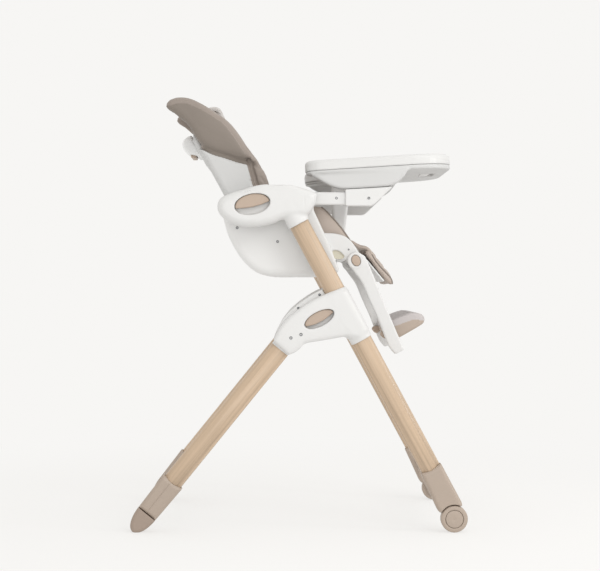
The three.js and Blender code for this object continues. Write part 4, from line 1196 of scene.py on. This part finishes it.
def leg_pad():
    """A pillow over the legrest: crowned, with its sides drawn in between the corners."""
    clay = Clay((150, -178, 566), (246, 178, 690), 4.5)
    way = np.array((62.0, -78.0))
    t = ((clay.x - 165) * way[0] + (clay.z - 672) * way[1]) / (way @ way)
    half = 166 - 5 * np.sin(math.pi * np.clip(t, 0, 1))
    flat = clay.side(rounded(LEG_PAD, 7))
    clay.add(edged(flat, np.abs(clay.y) - half, 10))
    clay.d = clay.d + SHRINK
    made = stuffed("leg_pad_cover", clay, 4.5,
                   lambda p: (p[:, 0] - 161) * 0.815 + (p[:, 2] - 664) * 0.58 < 3)

    def rows(points):
        along = ((points[:, 0] - 165) * way[0] + (points[:, 2] - 672) * way[1]) / np.linalg.norm(way)
        return np.where(np.abs(points[:, 1]) < 140, np.minimum(np.abs(along - 30), np.abs(along - 62)), 1e3)

    sewn(made, rows, 1.6, 4.0)
    sewn(made, lambda p: np.abs(np.abs(p[:, 1]) - 140), 2.2, 4.0)
    settle(made, "legrest", ["leg_pad"])
    for side, sign in SIDES:
        edge = [(176, 673), (203, 638), (228, 606), (235, 584)]
        piping(f"leg_pad_piping_{side}", [(x, sign * 160, z) for x, z in edge], 1.7, "legrest", made, 0.7)


def drape():
    """The strip of cover that joins the seat to the leg pad over the legrest's hinge."""
    line = smooth_line([(108, 690), (126, 692), (140, 685), (152, 680), (163, 677), (172, 670), (179, 660)])
    clay = Clay((98, -176, 658), (184, 176, 704), 3.0)
    clay.put(strip(line, 4.0), -163, 163, 3.5)
    made = stuffed("leg_drape_cover", clay, 2.0, lambda p: p[:, 0] < 0)
    points = points_of(made)
    wave = 1.4 * np.sin(points[:, 1] / 21.0) * np.exp(-((points[:, 0] - 146) / 12) ** 2)
    points[:, 2] += wave
    move_points(made, points)
    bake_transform(made)


def harness():
    """Two webbing straps that stand out from the back and wear a soft shoulder pad each."""
    line = smooth_line([on_back(990, 33), (-247, 1020), (-231, 1026), (-214, 1030), (-202, 1025),
                        (-197, 1007), (-195, 975), (-190, 930), (-181, 893), (-172, 866), on_back(810, 36),
                        on_back(762, 33)])
    for side, sign in SIDES:
        low, high = sorted((sign * 36, sign * 60))
        webbing = Clay((-284, low - 3, 770), (-120, high + 3, 1058), 1.5)
        webbing.put(strip(line, 1.5), low, high, 1.2)
        moulded(f"harness_webbing_{side}", webbing, WEBBING, "backrest", ["harness_strap_" + side],
                relax=1)
        low, high = sorted((sign * 25, sign * 71))
        pad = Clay((-284, low - 6, 820), (-120, high + 6, 1062), 3.0)
        pad.put(strip(line[8:74], 6.5), low, high, 4.5)
        cover = stuffed(f"harness_pad_{side}", pad, 3.0, lambda p: p[:, 0] > 1e3, MESH_PAD)
        sewn(cover, lambda p: np.abs(np.abs(p[:, 1] - sign * 48) - 17), 1.6, 2.6)
        settle(cover, "backrest", ())


def buckle():
    """The harness buckle at the front of the seat, with its press button and two strap slots."""
    clay = Clay((-14, -24, 668), (34, 24, 704), 1.0)
    outline = [(-8, 678, 3), (-6, 672, 3), (27, 683, 5), (29, 690, 5), (25, 697, 5), (2, 692, 4)]
    clay.put(rounded(outline, 4), -17, 17, 4)
    button = np.hypot(clay.x - 10, clay.y) - 6.5
    ring = np.maximum(np.abs(button) - 0.8, 690.5 + (clay.x - 10) * 0.22 - clay.z)
    clay.cut(ring, 0.6)
    for sign in (-1, 1):
        slot = np.maximum(np.abs(clay.x - 6) - 6, np.abs(clay.y - sign * 13) - 1.2)
        clay.cut(np.maximum(slot, 688 - clay.z), 0.6)
    moulded("crotch_buckle_shell", clay, WHITE, "seat_carriage", ["crotch_buckle"], relax=1)


# ---- Small hardware -------------------------------------------------------------------------

SCREW_SCALE = 1.2


def screws():
    """Cross-headed screws let into the housings, the seat shell and the tray's arms, and one small dark head
    on the fender that stands for a hole: painted shade.
    """
    clay = Clay((-4.5, -2.4, -4.5), (4.5, 1.2, 4.5), 0.3)
    head = edged(np.hypot(clay.x, clay.z) - 3.3, np.abs(clay.y + 0.7) - 1.3, 0.7)
    clay.add(head)
    for u, v in ((clay.x, clay.z), (clay.z, clay.x)):
        clay.cut(np.maximum(np.maximum(np.abs(u) - 0.5, np.abs(v) - 2.2), -0.3 - clay.y), 0.2)
    points, faces = skin(clay)
    groups = {
        "front_frame": [(-19, 289.6, 462, 1), (4.8, 289.6, 470, 1), (-1.6, 265, 532, 0.8),
                        (49, 265, 564, 0.8)],
        # The last seat-carriage head, small, at x 120 and z 673, is a dark plug put over a small hole in the
        # fender: painted shade.
        "seat_carriage": [(-150, 200.2, 726, 0.85), (-52, 200.2, 692.5, 0.85), (90, 233.8, 796, 0.85),
                          (120, 209.2, 673, 0.55)],
        "tray": [(167.6, 239.2, 795.6, 0.85)],
    }
    for body, places in groups.items():
        for side, mirror in SIDES:
            every, all_faces = [], []
            for x, y, z, size in places:
                all_faces.append(faces + sum(len(p) for p in every))
                every.append(points * size * SCREW_SCALE + np.array((x, y, z)))
            made = piece(f"screws_{body}_{side}", np.concatenate(every), np.concatenate(all_faces),
                         DARK_STEEL, mirror)
            settle(made, body, ())


def footplate_clips():
    """A small catch behind each legrest arm that holds the footplate's height."""
    clay = Clay((182, 196, 442), (244, 212, 496), 1.0)
    outline = [(195, 469, 4), (199, 476, 4), (214, 478, 4), (224, 468, 4), (210, 457, 5), (203, 459, 5)]
    clay.put(rounded(outline, 4), 197, 208.5, 2.5)
    moulded_pair("footplate_clip", clay, TAN, "footplate", relax=1)


fold_housings()
levers()
front_feet()
wheels()
rear_feet()
armrests()
side_frames()
seat_shell()
backrest_shell()
recline_handle()
legrest_arms()
legrest_panel()
footplate()
footplate_clips()
tray()
back_cushion()
seat_cushion()
leg_pad()
drape()
harness()
buckle()
screws()

# ---- Stage, light and camera ----------------------------------------------------------------

SKY = (0.930, 0.921, 0.904)


def make_floor():
    """A pale floor that fades into the backdrop a little way out from the chair."""
    mesh = bpy.data.meshes.new("floor")
    build = bmesh.new()
    bmesh.ops.create_grid(build, x_segments=24, y_segments=24, size=14)
    build.to_mesh(mesh)
    build.free()
    floor = bpy.data.objects.new("floor", mesh)
    bpy.context.scene.collection.objects.link(floor)
    m = Shader("floor", (0.86, 0.852, 0.838), 0.9, Specular_IOR_Level=0.1)
    glow = m.node("Emission", Color=(*SKY, 1))
    reach = m.node("VectorMath")
    reach.operation = "LENGTH"
    m.links.new(m.at, reach.inputs[0])
    fade = m.node("MapRange", Value=reach.outputs["Value"], To_Min=0.66, From_Min=0.5, From_Max=1.9)
    fade.interpolation_type = "SMOOTHSTEP"
    mixed = m.node("MixShader", Fac=fade.outputs["Result"])
    m.links.new(m.bsdf.outputs["BSDF"], mixed.inputs[1])
    m.links.new(glow.outputs["Emission"], mixed.inputs[2])
    m.fill(m.nodes["Material Output"], Surface=mixed.outputs["Shader"])
    mesh.materials.append(m.material)


def softbox(name, place, target, size, energy):
    light = bpy.data.lights.new(name, "AREA")
    light.shape = "RECTANGLE"
    light.size, light.size_y = size
    light.energy = energy
    made = bpy.data.objects.new(name, light)
    made.location = place
    way = Vector(target) - Vector(place)
    made.rotation_euler = way.to_track_quat("-Z", "Y").to_euler()
    bpy.context.scene.collection.objects.link(made)


def make_stage():
    scene = bpy.context.scene
    scene.view_settings.view_transform = "Standard"
    scene.view_settings.look = "None"
    world = bpy.data.worlds.new("studio")
    scene.world = world
    world.use_nodes = True
    sky = world.node_tree.nodes["Background"]
    sky.inputs["Color"].default_value = (*SKY, 1)
    sky.inputs["Strength"].default_value = 1.0
    make_floor()
    softbox("key", (1.5, -2.5, 2.3), (0, 0, 0.6), (1.3, 1.3), 20)
    softbox("fill", (0.2, -4.3, 0.8), (0, 0, 0.6), (3.0, 1.8), 26)
    softbox("strip", (2.3, -1.0, 1.3), (0, 0, 0.5), (0.35, 2.2), 14)
    softbox("top", (0.2, 0.2, 3.0), (0, 0, 0.5), (2.2, 2.2), 3)
    camera = bpy.data.cameras.new("camera")
    camera.sensor_width = 36
    camera.lens = 88.2
    made = bpy.data.objects.new("camera", camera)
    made.location = (0.0024, -3.765, 0.586)
    made.rotation_euler = (math.radians(90), 0, 0)
    scene.collection.objects.link(made)
    scene.camera = made


make_stage()
